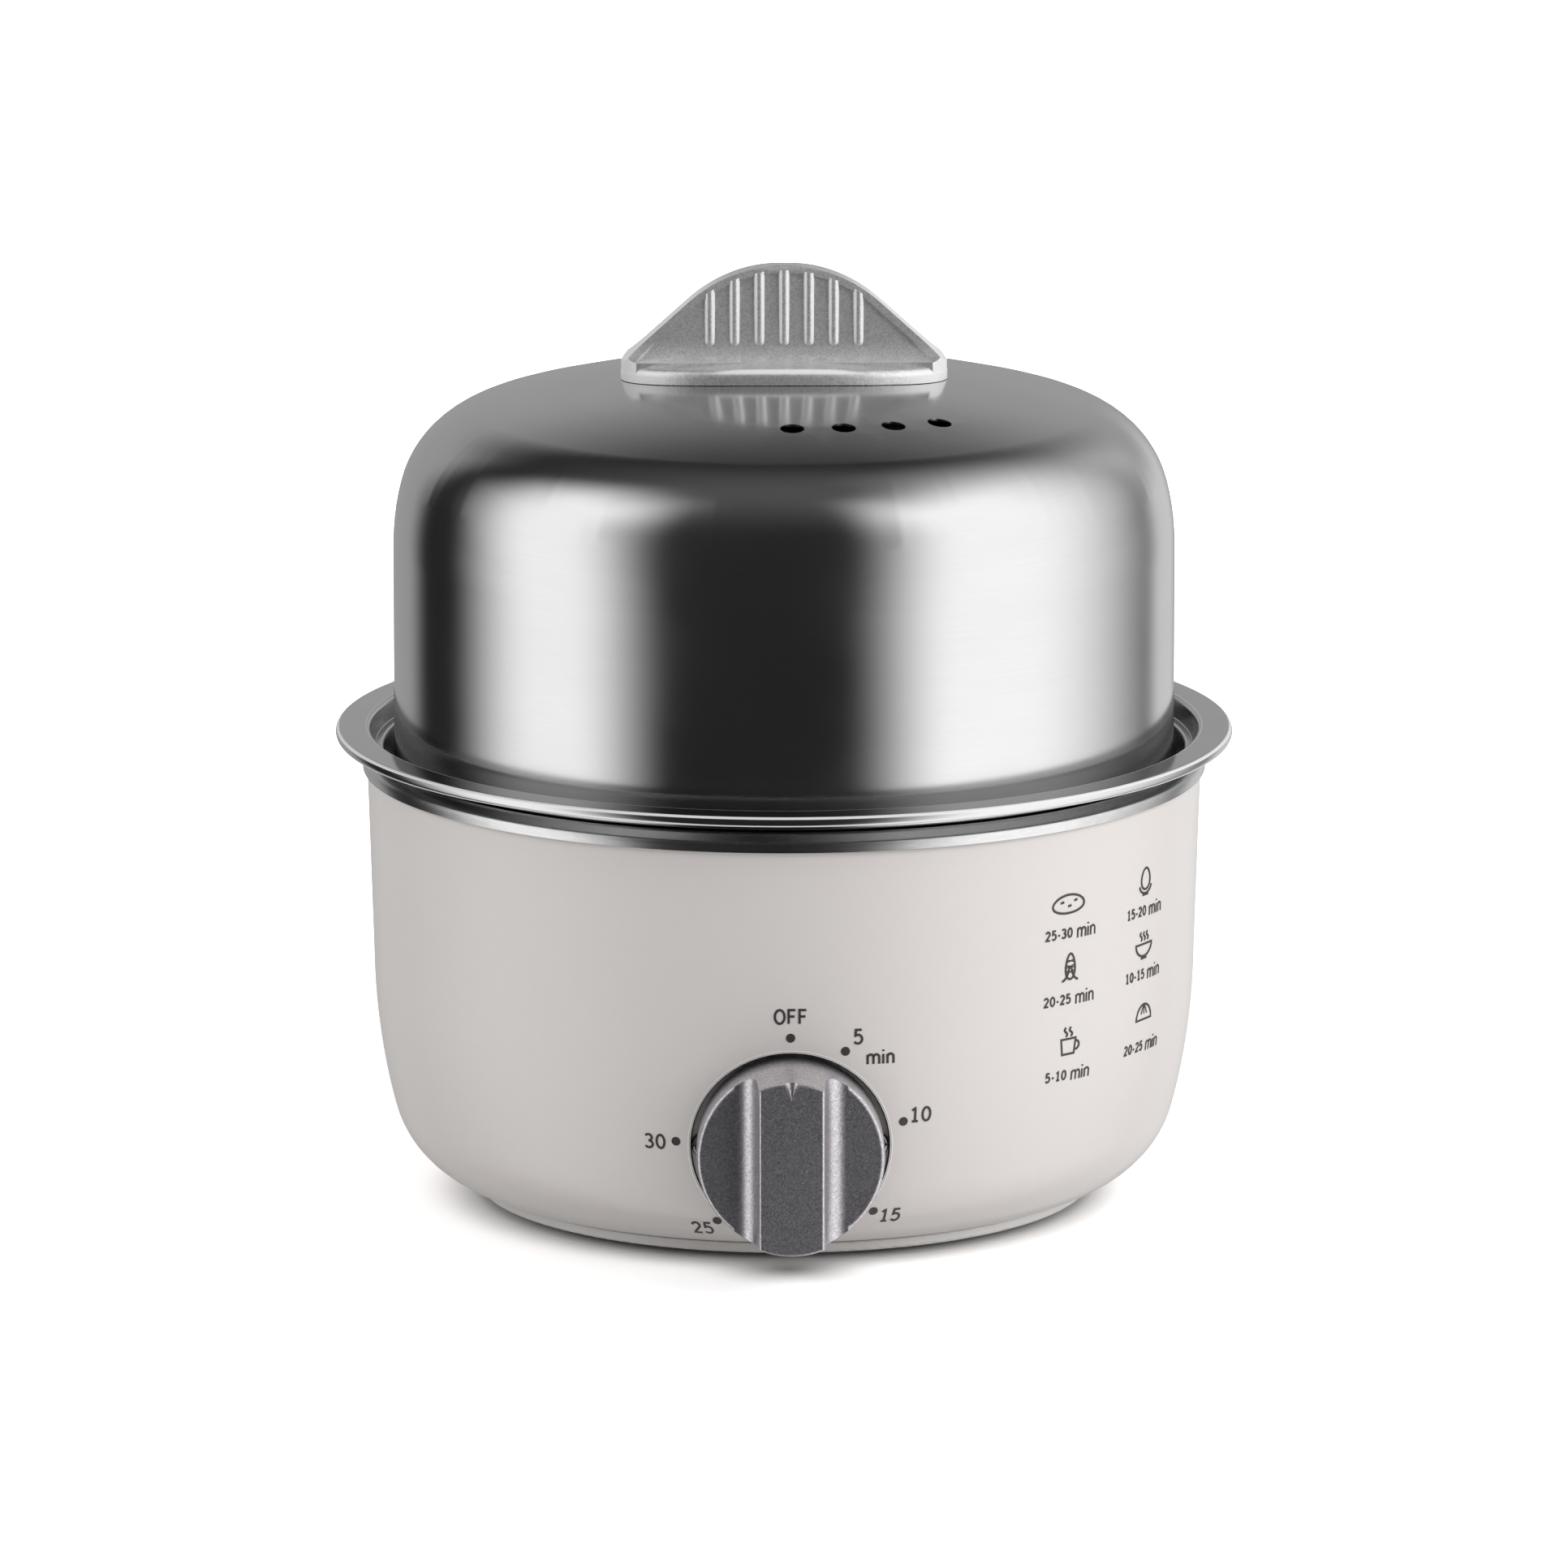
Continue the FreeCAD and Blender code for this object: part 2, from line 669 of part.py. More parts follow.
def make_bottom_cover():
    """Round cover with a locating lip, vent slots, sunk screw seats and seats for the feet."""
    plate = turned_polygon(
        [(0, COVER_BOTTOM_Z), (COVER_R, COVER_BOTTOM_Z), (COVER_R, OPENING_Z), (0, OPENING_Z)],
        [0, COVER_EDGE_R, COVER_TOP_EDGE_R, 0])
    lip_r = OPENING_R - COVER_LIP_GAP
    lip = cylinder(lip_r, OPENING_Z, OPENING_Z + COVER_LIP_HEIGHT)
    lip = lip.cut(cylinder(lip_r - COVER_LIP_WALL, OPENING_Z, OPENING_Z + COVER_LIP_HEIGHT))
    cuts = []
    for angle in COVER_SCREW_ANGLES:
        seat = polar(COVER_SCREW_CIRCLE_R, angle)
        cuts.append(cylinder(CLEARANCE_HOLE_R, 0, OPENING_Z, seat.x, seat.y))
        cuts.append(cylinder(COVER_SEAT_R, 0, COVER_BOTTOM_Z + FOOT_RECESS, seat.x, seat.y))
        cuts.append(cylinder(COVER_BOSS_R + COVER_LIP_GAP, OPENING_Z, OPENING_Z + 9, seat.x, seat.y))
    for angle in FOOT_ANGLES:
        seat = polar(FOOT_CIRCLE_R, angle)
        cuts.append(cylinder(FOOT_R + FOOT_SEAT_GAP, 0, COVER_BOTTOM_Z + FOOT_RECESS, seat.x, seat.y))
        cuts.append(cylinder(CLEARANCE_HOLE_R, 0, OPENING_Z, seat.x, seat.y))
    for i in range(VENT_SLOT_COUNT):
        x = (i - (VENT_SLOT_COUNT - 1) / 2) * VENT_SLOT_PITCH
        half = VENT_SLOT_WIDTH / 2
        corners = [Vector(x - half, VENT_SLOT_START_Y, 0), Vector(x + half, VENT_SLOT_START_Y, 0),
                   Vector(x + half, VENT_SLOT_END_Y, 0), Vector(x - half, VENT_SLOT_END_Y, 0)]
        cuts.append(polygon_prism(corners, [half * 0.98] * 4, Vector(0, 0, OPENING_Z)))
    return plate.fuse(lip).cut(cuts).removeSplitter()


def make_cover_screws():
    """Three screws that hold the cover from below."""
    upside_down = screw(COVER_SCREW_HEAD_R, COVER_SCREW_HEAD_HEIGHT, SCREW_SHANK_R, COVER_SCREW_LENGTH)
    seat_z = COVER_BOTTOM_Z + FOOT_RECESS
    return group([
        placed(upside_down, polar(COVER_SCREW_CIRCLE_R, a, seat_z), Vector(0, 0, -1))
        for a in COVER_SCREW_ANGLES
    ])


def make_foot(angle):
    """Push-in rubber foot with a barbed stem."""
    top = COVER_BOTTOM_Z + FOOT_RECESS
    barb = OPENING_Z + PIN_GAP
    tip = barb + FOOT_BARB_HEIGHT
    foot = turned_polygon(
        [(0, 0), (FOOT_R - FOOT_EDGE, 0), (FOOT_R, top), (FOOT_STEM_R, top), (FOOT_STEM_R, barb),
         (FOOT_BARB_R, barb + 0.3), (FOOT_TIP_R, tip), (0, tip)],
        [0, FOOT_EDGE, 0, 0, 0, 0, 0, 0])
    return placed(foot, polar(FOOT_CIRCLE_R, angle))


# Basin and what hangs under it

def make_basin():
    """Water pan with a rolled rim, a wide neck for the tray and a rounded floor."""
    half = SHEET / 2
    rim_z = BASIN_RIM_TOP_Z - half
    line = [
        (BASIN_RIM_R, BASIN_RIM_BOTTOM_Z),
        (BASIN_RIM_R, BASIN_RIM_BOTTOM_Z + BASIN_RIM_SIDE),
        (BASIN_RIM_R - BASIN_RIM_SLOPE, rim_z),
        (BASIN_NECK_R, rim_z),
        (BASIN_NECK_R, BASIN_NECK_BOTTOM_Z),
        (BASIN_WALL_R, BASIN_WALL_TOP_Z),
        (BASIN_WALL_R - BASIN_WALL_DRAFT, BASIN_FLOOR_Z - half),
        (0, BASIN_FLOOR_Z - half),
    ]
    return turned_sheet(line, [0, 2.0, 1.3, 0.5, 0.8, 0.8, BASIN_CORNER_R, 0])


HEATER_TOP_Z = BASIN_FLOOR_Z - SHEET
HEATER_BOTTOM_Z = HEATER_TOP_Z - HEATER_THICKNESS


def make_heater_plate():
    """Cast plate that spreads the element's heat over the basin's floor."""
    plate = turned_polygon(
        [(0, HEATER_BOTTOM_Z), (HEATER_R, HEATER_BOTTOM_Z), (HEATER_R, HEATER_TOP_Z), (0, HEATER_TOP_Z)],
        [0, HEATER_EDGE_R, HEATER_TOP_EDGE_R, 0])
    groove = Part.makeTorus(ELEMENT_CIRCLE_R, ELEMENT_TUBE_R + PIN_GAP, Vector(0, 0, HEATER_BOTTOM_Z))
    return plate.cut(groove)


def make_heating_element():
    """Tubular element bent to an open ring, with both ends turned down."""
    start_deg = 90 + ELEMENT_GAP_DEG / 2
    sweep_deg = 360 - ELEMENT_GAP_DEG
    plane_z = HEATER_BOTTOM_Z
    edges = []
    for end_deg, forwards in ((start_deg, -1), (start_deg + sweep_deg, 1)):
        ring_end = polar(ELEMENT_CIRCLE_R, end_deg, plane_z)
        tangent = polar(forwards, end_deg + 90)
        down = Vector(0, 0, -1)
        bend_centre = ring_end + down * ELEMENT_BEND_R
        halfway = bend_centre + (tangent - down).normalize() * ELEMENT_BEND_R
        leg_top = bend_centre + tangent * ELEMENT_BEND_R
        leg_end = Vector(leg_top.x, leg_top.y, ELEMENT_LEG_END_Z)
        bend = Part.Arc(ring_end, halfway, leg_top).toShape()
        edges.append((bend, Part.makeLine(leg_top, leg_end), leg_end))
    middle = polar(ELEMENT_CIRCLE_R, start_deg + sweep_deg / 2, plane_z)
    ring = Part.Arc(polar(ELEMENT_CIRCLE_R, start_deg, plane_z), middle,
                    polar(ELEMENT_CIRCLE_R, start_deg + sweep_deg, plane_z)).toShape()
    path = Part.Wire(Part.sortEdges([edges[0][1], edges[0][0], ring, edges[1][0], edges[1][1]])[0])
    section = Part.Wire([Part.makeCircle(ELEMENT_TUBE_R, edges[0][2], Vector(0, 0, 1))])
    return path.makePipeShell([section], True, False), [edges[0][2], edges[1][2]]


def make_element_pins(leg_ends):
    """Cold pins with spade tabs under the element's legs."""
    pins = []
    for end in leg_ends:
        pin_low = ELEMENT_LEG_END_Z - ELEMENT_PIN_LENGTH
        pin = cylinder(ELEMENT_PIN_R, pin_low, ELEMENT_LEG_END_Z, end.x, end.y)
        half_w = SPADE_WIDTH / 2
        half_t = SPADE_THICKNESS / 2
        tab_low = pin_low - SPADE_LENGTH
        tab = box(end.x - half_w, end.x + half_w, end.y - half_t, end.y + half_t, tab_low, pin_low)
        pins.append(pin.fuse(tab))
    return group(pins)


def make_reflector(leg_ends):
    """Steel plate that keeps the heat off the bottom, with holes for what passes through it."""
    plate = cylinder(REFLECTOR_R, REFLECTOR_Z, REFLECTOR_Z + REFLECTOR_THICKNESS)
    top = REFLECTOR_Z + REFLECTOR_THICKNESS
    cuts = [cylinder(REFLECTOR_BORE_R, REFLECTOR_Z, top)]
    for angle in STUD_ANGLES:
        stud = polar(STUD_CIRCLE_R, angle)
        cuts.append(cylinder(STUD_R + PIN_GAP, REFLECTOR_Z, top, stud.x, stud.y))
    for end in leg_ends:
        cuts.append(cylinder(REFLECTOR_LEG_HOLE_R, REFLECTOR_Z, top, end.x, end.y))
    return plate.cut(cuts)


def make_reflector_studs():
    """Three studs in the heater plate."""
    studs = [cylinder(STUD_R, STUD_END_Z, HEATER_BOTTOM_Z, p.x, p.y)
             for p in (polar(STUD_CIRCLE_R, a) for a in STUD_ANGLES)]
    return group(studs)


def make_reflector_nuts():
    """A nut above and below the reflector on each stud."""
    top = REFLECTOR_Z + REFLECTOR_THICKNESS
    nuts = []
    for angle in STUD_ANGLES:
        stud = polar(STUD_CIRCLE_R, angle)
        for z in (REFLECTOR_Z - NUT_HEIGHT, top):
            nuts.append(placed(hexagon(NUT_FLATS, 0, NUT_HEIGHT, STUD_R + RUNNING_GAP),
                               Vector(stud.x, stud.y, z)))
    return group(nuts)


THERMOSTAT_CAP_BOTTOM_Z = HEATER_BOTTOM_Z - THERMOSTAT_CAP_HEIGHT
THERMOSTAT_TAB_TOP_Z = THERMOSTAT_CAP_BOTTOM_Z - THERMOSTAT_BODY_HEIGHT
THERMOSTAT_TAB_LOW_Z = THERMOSTAT_TAB_TOP_Z - THERMOSTAT_TAB_LENGTH


def make_thermostat_cap():
    """Metal cap of the thermostat, with the eared plate that holds it against the heater."""
    cap = cylinder(THERMOSTAT_CAP_R, THERMOSTAT_CAP_BOTTOM_Z, HEATER_BOTTOM_Z)
    x = THERMOSTAT_EAR_LENGTH / 2
    y = THERMOSTAT_EAR_WIDTH / 2
    corners = [Vector(-x, -y, 0), Vector(x, -y, 0), Vector(x, y, 0), Vector(-x, y, 0)]
    ears = polygon_prism(corners, [y * 0.97] * 4, Vector(0, 0, THERMOSTAT_EAR_THICKNESS))
    ears.translate(Vector(0, 0, THERMOSTAT_CAP_BOTTOM_Z))
    holes = [cylinder(CLEARANCE_HOLE_R, 0, HEATER_BOTTOM_Z, s * THERMOSTAT_EAR_X) for s in (-1, 1)]
    return cap.fuse(ears).cut(holes).removeSplitter()


def make_thermostat_body():
    """Moulded body of the thermostat."""
    low = THERMOSTAT_TAB_TOP_Z
    top = THERMOSTAT_CAP_BOTTOM_Z
    return turned_polygon([(0, low), (THERMOSTAT_BODY_R, low), (THERMOSTAT_BODY_R, top), (0, top)],
                          [0, THERMOSTAT_BODY_EDGE_R, 0, 0])


def make_thermostat_tabs():
    """Two spade tabs of the thermostat."""
    half_w = SPADE_WIDTH / 2
    half_t = SPADE_THICKNESS / 2
    tabs = []
    for side in (-1, 1):
        x = side * THERMOSTAT_TAB_X
        tabs.append(box(x - half_t, x + half_t, -half_w, half_w, THERMOSTAT_TAB_LOW_Z, THERMOSTAT_TAB_TOP_Z))
    return group(tabs)


def make_thermostat_screws():
    """Two screws that hold the thermostat's ears under the heater plate, each on its spacer."""
    screws = []
    for side in (-1, 1):
        x = side * THERMOSTAT_EAR_X
        spacer_low = THERMOSTAT_CAP_BOTTOM_Z + THERMOSTAT_EAR_THICKNESS
        spacer = cylinder(SPACER_R, spacer_low, HEATER_BOTTOM_Z, x).cut(
            cylinder(SCREW_HOLE_R, spacer_low, HEATER_BOTTOM_Z, x))
        body = screw(SPACER_R, 1.6, SCREW_SHANK_R, HEATER_BOTTOM_Z - THERMOSTAT_CAP_BOTTOM_Z)
        screws.append(placed(body, Vector(x, 0, THERMOSTAT_CAP_BOTTOM_Z), Vector(0, 0, -1)))
        screws.append(spacer)
    return group(screws)


FUSE_POINT = Vector(0, FUSE_Y, HEATER_BOTTOM_Z - FUSE_R)


def make_thermal_fuse():
    """Thermal fuse that lies against the underside of the heater plate, with its two leads."""
    along = Vector(1, 0, 0)
    barrel = Part.makeCylinder(FUSE_R, FUSE_LENGTH, FUSE_POINT - along * (FUSE_LENGTH / 2), along)
    leads = Part.makeCylinder(FUSE_LEAD_R, FUSE_LEAD_LENGTH, FUSE_POINT - along * (FUSE_LEAD_LENGTH / 2), along)
    return barrel.fuse(leads).removeSplitter()


def make_fuse_clip():
    """Spring saddle that presses the fuse to the plate."""
    x0 = -CLIP_WIDTH / 2
    x1 = CLIP_WIDTH / 2
    y = FUSE_POINT.y
    outer = FUSE_R + CLIP_THICKNESS
    inner = FUSE_R + PIN_GAP
    start = FUSE_POINT + Vector(x0, 0, 0)
    along = Vector(1, 0, 0)
    top = HEATER_BOTTOM_Z
    ring = Part.makeCylinder(outer, CLIP_WIDTH, start, along)
    ears = box(x0, x1, y - CLIP_EAR_REACH, y + CLIP_EAR_REACH, top - CLIP_THICKNESS, top)
    legs = box(x0, x1, y - outer, y + outer, FUSE_POINT.z, top)
    hollow = Part.makeCylinder(inner, CLIP_WIDTH, start, along)
    slot = box(x0, x1, y - inner, y + inner, FUSE_POINT.z, top)
    above = box(x0, x1, y - 2 * outer, y + 2 * outer, top, top + outer)
    holes = [cylinder(CLIP_HOLE_R, 0, top, 0, y + s * CLIP_HOLE_OFFSET) for s in (-1, 1)]
    return joined([ring, ears, legs]).cut([hollow, slot, above] + holes)


# Brackets under the basin

def make_pan_bracket(angle):
    """Bent steel strap from a post of the housing up to the basin's floor."""
    top = BASIN_FLOOR_Z - SHEET
    t = BRACKET_THICKNESS
    section = [
        (BRACKET_INNER_R, top - t), (BRACKET_INNER_R, top), (BRACKET_LEG_R, top),
        (BRACKET_LEG_R, POST_TOP_Z), (BRACKET_INNER_R, POST_TOP_Z), (BRACKET_INNER_R, POST_TOP_Z + t),
        (BRACKET_LEG_R - t, POST_TOP_Z + t), (BRACKET_LEG_R - t, top - t),
    ]
    radii = [0, 0, t * 1.5, t * 1.5, 0, 0, t * 0.5, t * 0.5]
    half = BRACKET_WIDTH / 2
    corners = [Vector(r, -half, z) for r, z in section]
    strap = polygon_prism(corners, radii, Vector(0, BRACKET_WIDTH, 0))
    strap = strap.cut(cylinder(CLEARANCE_HOLE_R, POST_TOP_Z, POST_TOP_Z + 2, POST_CIRCLE_R))
    return spun(strap, angle)


def make_bracket_screws():
    """One screw through each bracket's foot."""
    one = screw(BRACKET_SCREW_HEAD_R, BRACKET_SCREW_HEAD_HEIGHT, SCREW_SHANK_R, SCREW_HOLE_DEPTH)
    seat_z = POST_TOP_Z + BRACKET_THICKNESS
    return group([placed(one, polar(POST_CIRCLE_R, a, seat_z)) for a in BRACKET_ANGLES])


# Timer, built upright with its height as the depth forwards of the pan's axis

ARBOR_DISTANCE = (MAIN_WHEEL_TEETH + PINION_TEETH) * WHEEL_MODULE / 2
ARBOR = polar(ARBOR_DISTANCE, ARBOR_ANGLE_DEG)


def make_timer_plate():
    """Front plate of the timer, with the bush that the shaft turns in."""
    half_l = PLATE_LENGTH / 2
    half_h = PLATE_HEIGHT / 2
    corners = [Vector(x, y, PLATE_BACK) for x, y in
               ((-half_l, -half_h), (half_l, -half_h), (half_l, half_h), (-half_l, half_h))]
    plate = polygon_prism(corners, [half_h * 0.8] * 4, Vector(0, 0, PLATE_FRONT - PLATE_BACK))
    bush = cylinder(BUSH_R, PLATE_FRONT, PLATE_FRONT + BUSH_LENGTH)
    holes = [cylinder(SHAFT_R + RUNNING_GAP, 0, KNOB_FRONT)]
    holes += [cylinder(STANDOFF_HOLE_R, 0, KNOB_FRONT, s * STANDOFF_X) for s in (-1, 1)]
    holes.append(cylinder(ARBOR_HOLE_R, 0, PLATE_BACK + ARBOR_HOLE_DEPTH, ARBOR.x, ARBOR.y))
    return on_front(plate.fuse(bush).cut(holes).removeSplitter())


def make_timer_case():
    """Round tin case of the clockwork, with pivot holes in its back wall."""
    cup = cylinder(CASE_R, CASE_BACK, PLATE_BACK)
    hollow = cylinder(CASE_R - CASE_WALL, CASE_BACK + CASE_WALL, PLATE_BACK)
    pivots = [cylinder(SHAFT_PIVOT_R + RUNNING_GAP, 0, PLATE_BACK)]
    pivots.append(cylinder(ARBOR_HOLE_R, 0, PLATE_BACK, ARBOR.x, ARBOR.y))
    return on_front(cup.cut([hollow] + pivots))


def make_timer_shaft():
    """Shaft with a rear pivot and a flat for the knob."""
    shaft = turned_polygon([
        (0, CASE_BACK + PIVOT_GAP), (SHAFT_PIVOT_R, CASE_BACK + PIVOT_GAP), (SHAFT_PIVOT_R, SHAFT_PIVOT_END),
        (SHAFT_R, SHAFT_PIVOT_END), (SHAFT_R, SHAFT_FRONT), (0, SHAFT_FRONT)], [0, 0, 0, 0, 0.5, 0])
    flat = box(-SHAFT_R, SHAFT_R, SHAFT_FLAT, SHAFT_R + 1, SHAFT_FLAT_START, SHAFT_FRONT + 1)
    return on_front(shaft.cut(flat))


def make_timer_cam():
    """Switch cam with the notch that lets the contact open at the off position."""
    cam = cylinder(CAM_R, CAM_BACK, CAM_FRONT).cut(cylinder(SHAFT_R, CAM_BACK, CAM_FRONT))
    notch = cylinder(CAM_NOTCH_R, CAM_BACK, CAM_FRONT, 0, CAM_NOTCH_Y)
    return on_front(cam.cut(notch))


def make_main_wheel():
    """Toothed wheel on the shaft, lightened by round holes."""
    wheel = gear(MAIN_WHEEL_TEETH, WHEEL_MODULE, WHEEL_BACK, WHEEL_FRONT, SHAFT_R)
    holes = []
    for i in range(WHEEL_HOLE_COUNT):
        hole = polar(WHEEL_HOLE_CIRCLE_R, 360 / WHEEL_HOLE_COUNT * (i + 0.25))
        holes.append(cylinder(WHEEL_HOLE_R, WHEEL_BACK, WHEEL_FRONT, hole.x, hole.y))
    return on_front(wheel.cut(holes))


def make_escape_arbor():
    """Arbor with the pinion that the main wheel drives and the escape wheel behind it."""
    arbor = cylinder(ARBOR_R, CASE_BACK + PIVOT_GAP, PLATE_BACK + ARBOR_TIP)
    pinion = gear(PINION_TEETH, WHEEL_MODULE, PINION_BACK, PINION_FRONT, PINION_BORE_R)
    pinion.rotate(Vector(0, 0, 0), Vector(0, 0, 1), ARBOR_ANGLE_DEG + 180)
    points = []
    tooth_deg = 360 / ESCAPE_TEETH
    for i in range(ESCAPE_TEETH):
        points.append(polar(ESCAPE_TIP_R, tooth_deg * i, ESCAPE_BACK))
        points.append(polar(ESCAPE_ROOT_R, tooth_deg * (i + 2 / 3), ESCAPE_BACK))
    escape = polygon_prism(points, [0] * len(points), Vector(0, 0, ESCAPE_THICKNESS))
    whole = joined([arbor, pinion, escape])
    whole.translate(ARBOR)
    return on_front(whole)


def make_spring_barrel():
    """Drum round the shaft that holds the mainspring."""
    drum = cylinder(BARREL_R, BARREL_BACK, BARREL_FRONT)
    return on_front(drum.cut(cylinder(SHAFT_R + BARREL_BORE_GAP, BARREL_BACK, BARREL_FRONT)))


def make_contact_block():
    """Moulded block on the front plate that holds the contact blades."""
    return on_front(box(CONTACT_BLOCK_LEFT, CONTACT_BLOCK_RIGHT, CONTACT_BLOCK_LOW, CONTACT_BLOCK_HIGH,
                        CONTACT_BLOCK_BACK, PLATE_BACK))


def make_contact_blades():
    """Two leaf contacts over the cam, with their contact buttons."""
    blades = []
    button_depth = (BLADE_BACK + BLADE_FRONT) / 2
    for y, button_y in BLADE_AND_BUTTON_Y:
        blade = box(CONTACT_BLOCK_RIGHT, BLADE_END, y, y + BLADE_THICKNESS, BLADE_BACK, BLADE_FRONT)
        button_foot = Vector(BUTTON_X, button_y, button_depth)
        button = Part.makeCylinder(BUTTON_R, BUTTON_HEIGHT, button_foot, Vector(0, 1, 0))
        blades.append(blade.fuse(button))
    return on_front(group(blades))


def make_timer_tabs():
    """Spade tabs on the back of the case."""
    tabs = []
    for side in (-1, 1):
        x = side * TIMER_TAB_X
        half_t = SPADE_THICKNESS / 2
        half_w = TIMER_TAB_WIDTH / 2
        tabs.append(box(x - half_t, x + half_t, TIMER_TAB_DROP - half_w, TIMER_TAB_DROP + half_w,
                        TIMER_TAB_END, CASE_BACK))
    return on_front(group(tabs))


def make_timer_screws():
    """Two screws that hold the timer's plate from inside the pocket."""
    one = screw(COVER_SCREW_HEAD_R, TIMER_SCREW_HEAD_HEIGHT, TIMER_SCREW_SHANK_R, POCKET_FLOOR - PLATE_BACK)
    return on_front(group([placed(one, Vector(s * STANDOFF_X, 0, POCKET_FLOOR)) for s in (-1, 1)]))


# Knob

def make_knob():
    """Dial knob: a disc with a raised grip bar, coved into it, and a pointer notch at the top."""
    disc = turned_polygon([(0, KNOB_BACK), (KNOB_R, KNOB_BACK), (KNOB_R, KNOB_WING), (0, KNOB_WING)],
                          [0, KNOB_BACK_EDGE_R, KNOB_WING_EDGE_R, 0])
    root = KNOB_WING - KNOB_CONE_DEPTH
    cone = turned_polygon([(0, root), (KNOB_R, root), (KNOB_FRONT_R, KNOB_FRONT), (0, KNOB_FRONT)],
                          [0, 0, KNOB_FRONT_EDGE_R, 0])
    front_half = KNOB_BAR_WIDTH / 2
    root_half = front_half + KNOB_BAR_DRAFT
    skirt_half = root_half + KNOB_BAR_COVE
    outline = [
        (-skirt_half, root), (skirt_half, root), (skirt_half, KNOB_WING),
        (root_half, KNOB_WING), (front_half, KNOB_FRONT), (-front_half, KNOB_FRONT),
        (-root_half, KNOB_WING), (-skirt_half, KNOB_WING),
    ]
    cove = KNOB_BAR_COVE * 0.95
    corners = [Vector(x, -KNOB_R, z) for x, z in outline]
    edge = KNOB_BAR_EDGE_R
    bar = polygon_prism(corners, [0, 0, 0, cove, edge, edge, cove, 0], Vector(0, 2 * KNOB_R, 0))
    body = disc.fuse(cone.common(bar))
    hollow = cylinder(KNOB_HOLLOW_R, KNOB_BACK, KNOB_BACK + KNOB_HOLLOW_DEPTH)
    hollow = hollow.cut(cylinder(KNOB_HUB_R, KNOB_BACK, KNOB_BACK + KNOB_HOLLOW_DEPTH))
    bore = cylinder(SHAFT_R + RUNNING_GAP, KNOB_BACK, SHAFT_FRONT + 0.3)
    flat_fill = box(-SHAFT_R - 1, SHAFT_R + 1, SHAFT_FLAT + 0.5, SHAFT_R + 1, SHAFT_FLAT_START,
                    SHAFT_FRONT + 1)
    notch_start = Vector(0, KNOB_FRONT_R - KNOB_NOTCH_START, KNOB_FRONT)
    notch = Part.makeCone(0, KNOB_NOTCH_R, KNOB_NOTCH_LENGTH, notch_start, Vector(0, 1, 0))
    return on_front(body.cut([hollow, bore.cut(flat_fill), notch]).removeSplitter())


def make_knob_clip():
    """Leaf spring between the shaft's flat and the bore of the knob."""
    half = KNOB_CLIP_WIDTH / 2
    low = SHAFT_FLAT + RUNNING_GAP
    return on_front(box(-half, half, low, low + KNOB_CLIP_THICKNESS, SHAFT_FLAT_START + KNOB_CLIP_INSET,
                        SHAFT_FRONT - KNOB_CLIP_INSET))


# Egg tray

def make_egg_tray():
    """Flanged steaming tray: it hangs on the basin's rim, carries the lid on a ledge and the eggs in holes."""
    half = SHEET / 2
    flange_z = FLANGE_TOP_Z - half
    line = [
        (FLANGE_R - half - FLANGE_LIP_RETURN, FLANGE_LIP_BOTTOM_Z + half),
        (FLANGE_R - half, FLANGE_LIP_BOTTOM_Z + half),
        (FLANGE_R - half, flange_z),
        (FLANGE_BORE_R, flange_z),
        (UPPER_LEDGE_OUTER_R, UPPER_LEDGE_Z - half),
        (UPPER_LEDGE_INNER_R, UPPER_LEDGE_Z - half),
        (LID_LEDGE_OUTER_R, LID_LEDGE_Z - half),
        (LID_LEDGE_INNER_R, LID_LEDGE_Z - half),
        (TRAY_FLOOR_R, TRAY_FLOOR_Z - half),
        (0, TRAY_FLOOR_Z - half),
    ]
    bends = [0, FLANGE_CURL_R, FLANGE_EDGE_R, 0.8, 0.5, 0.5, 0.6, 0.8, TRAY_CORNER_R, 0]
    tray = turned_sheet(line, bends)
    low = TRAY_FLOOR_Z - 1
    high = TRAY_FLOOR_Z + 1
    holes = [cylinder(EGG_HOLE_R, low, high)]
    for i in range(HOLES_PER_CIRCLE):
        egg = polar(EGG_CIRCLE_R, 60 * i + 30)
        holes.append(cylinder(EGG_HOLE_R, low, high, egg.x, egg.y))
        for radius in STEAM_CIRCLES:
            steam = polar(radius, 60 * i)
            holes.append(cylinder(STEAM_HOLE_R, low, high, steam.x, steam.y))
    return tray.cut(holes)


# Steaming bowl

def make_steaming_bowl():
    """Shallow bowl with a rolled rim and a raised disc in its floor."""
    half = SHEET / 2
    floor_z = TRAY_FLOOR_Z + LIFT_GAP + half
    rim_z = floor_z + BOWL_HEIGHT
    line = [
        (BOWL_RIM_R, rim_z - BOWL_RIM_LIP),
        (BOWL_RIM_R, rim_z),
        (BOWL_WALL_R, rim_z),
        (BOWL_SHOULDER_R, floor_z + BOWL_SHOULDER_HEIGHT),
        (BOWL_FLOOR_R, floor_z),
        (BOWL_STEP_R + BOWL_STEP_RUN, floor_z),
        (BOWL_STEP_R, floor_z + BOWL_STEP_HEIGHT),
        (0, floor_z + BOWL_STEP_HEIGHT),
    ]
    return turned_sheet(line, [0, 0.8, 1.2, 30, 12, 0.7, 0.7, 0])


# Lid

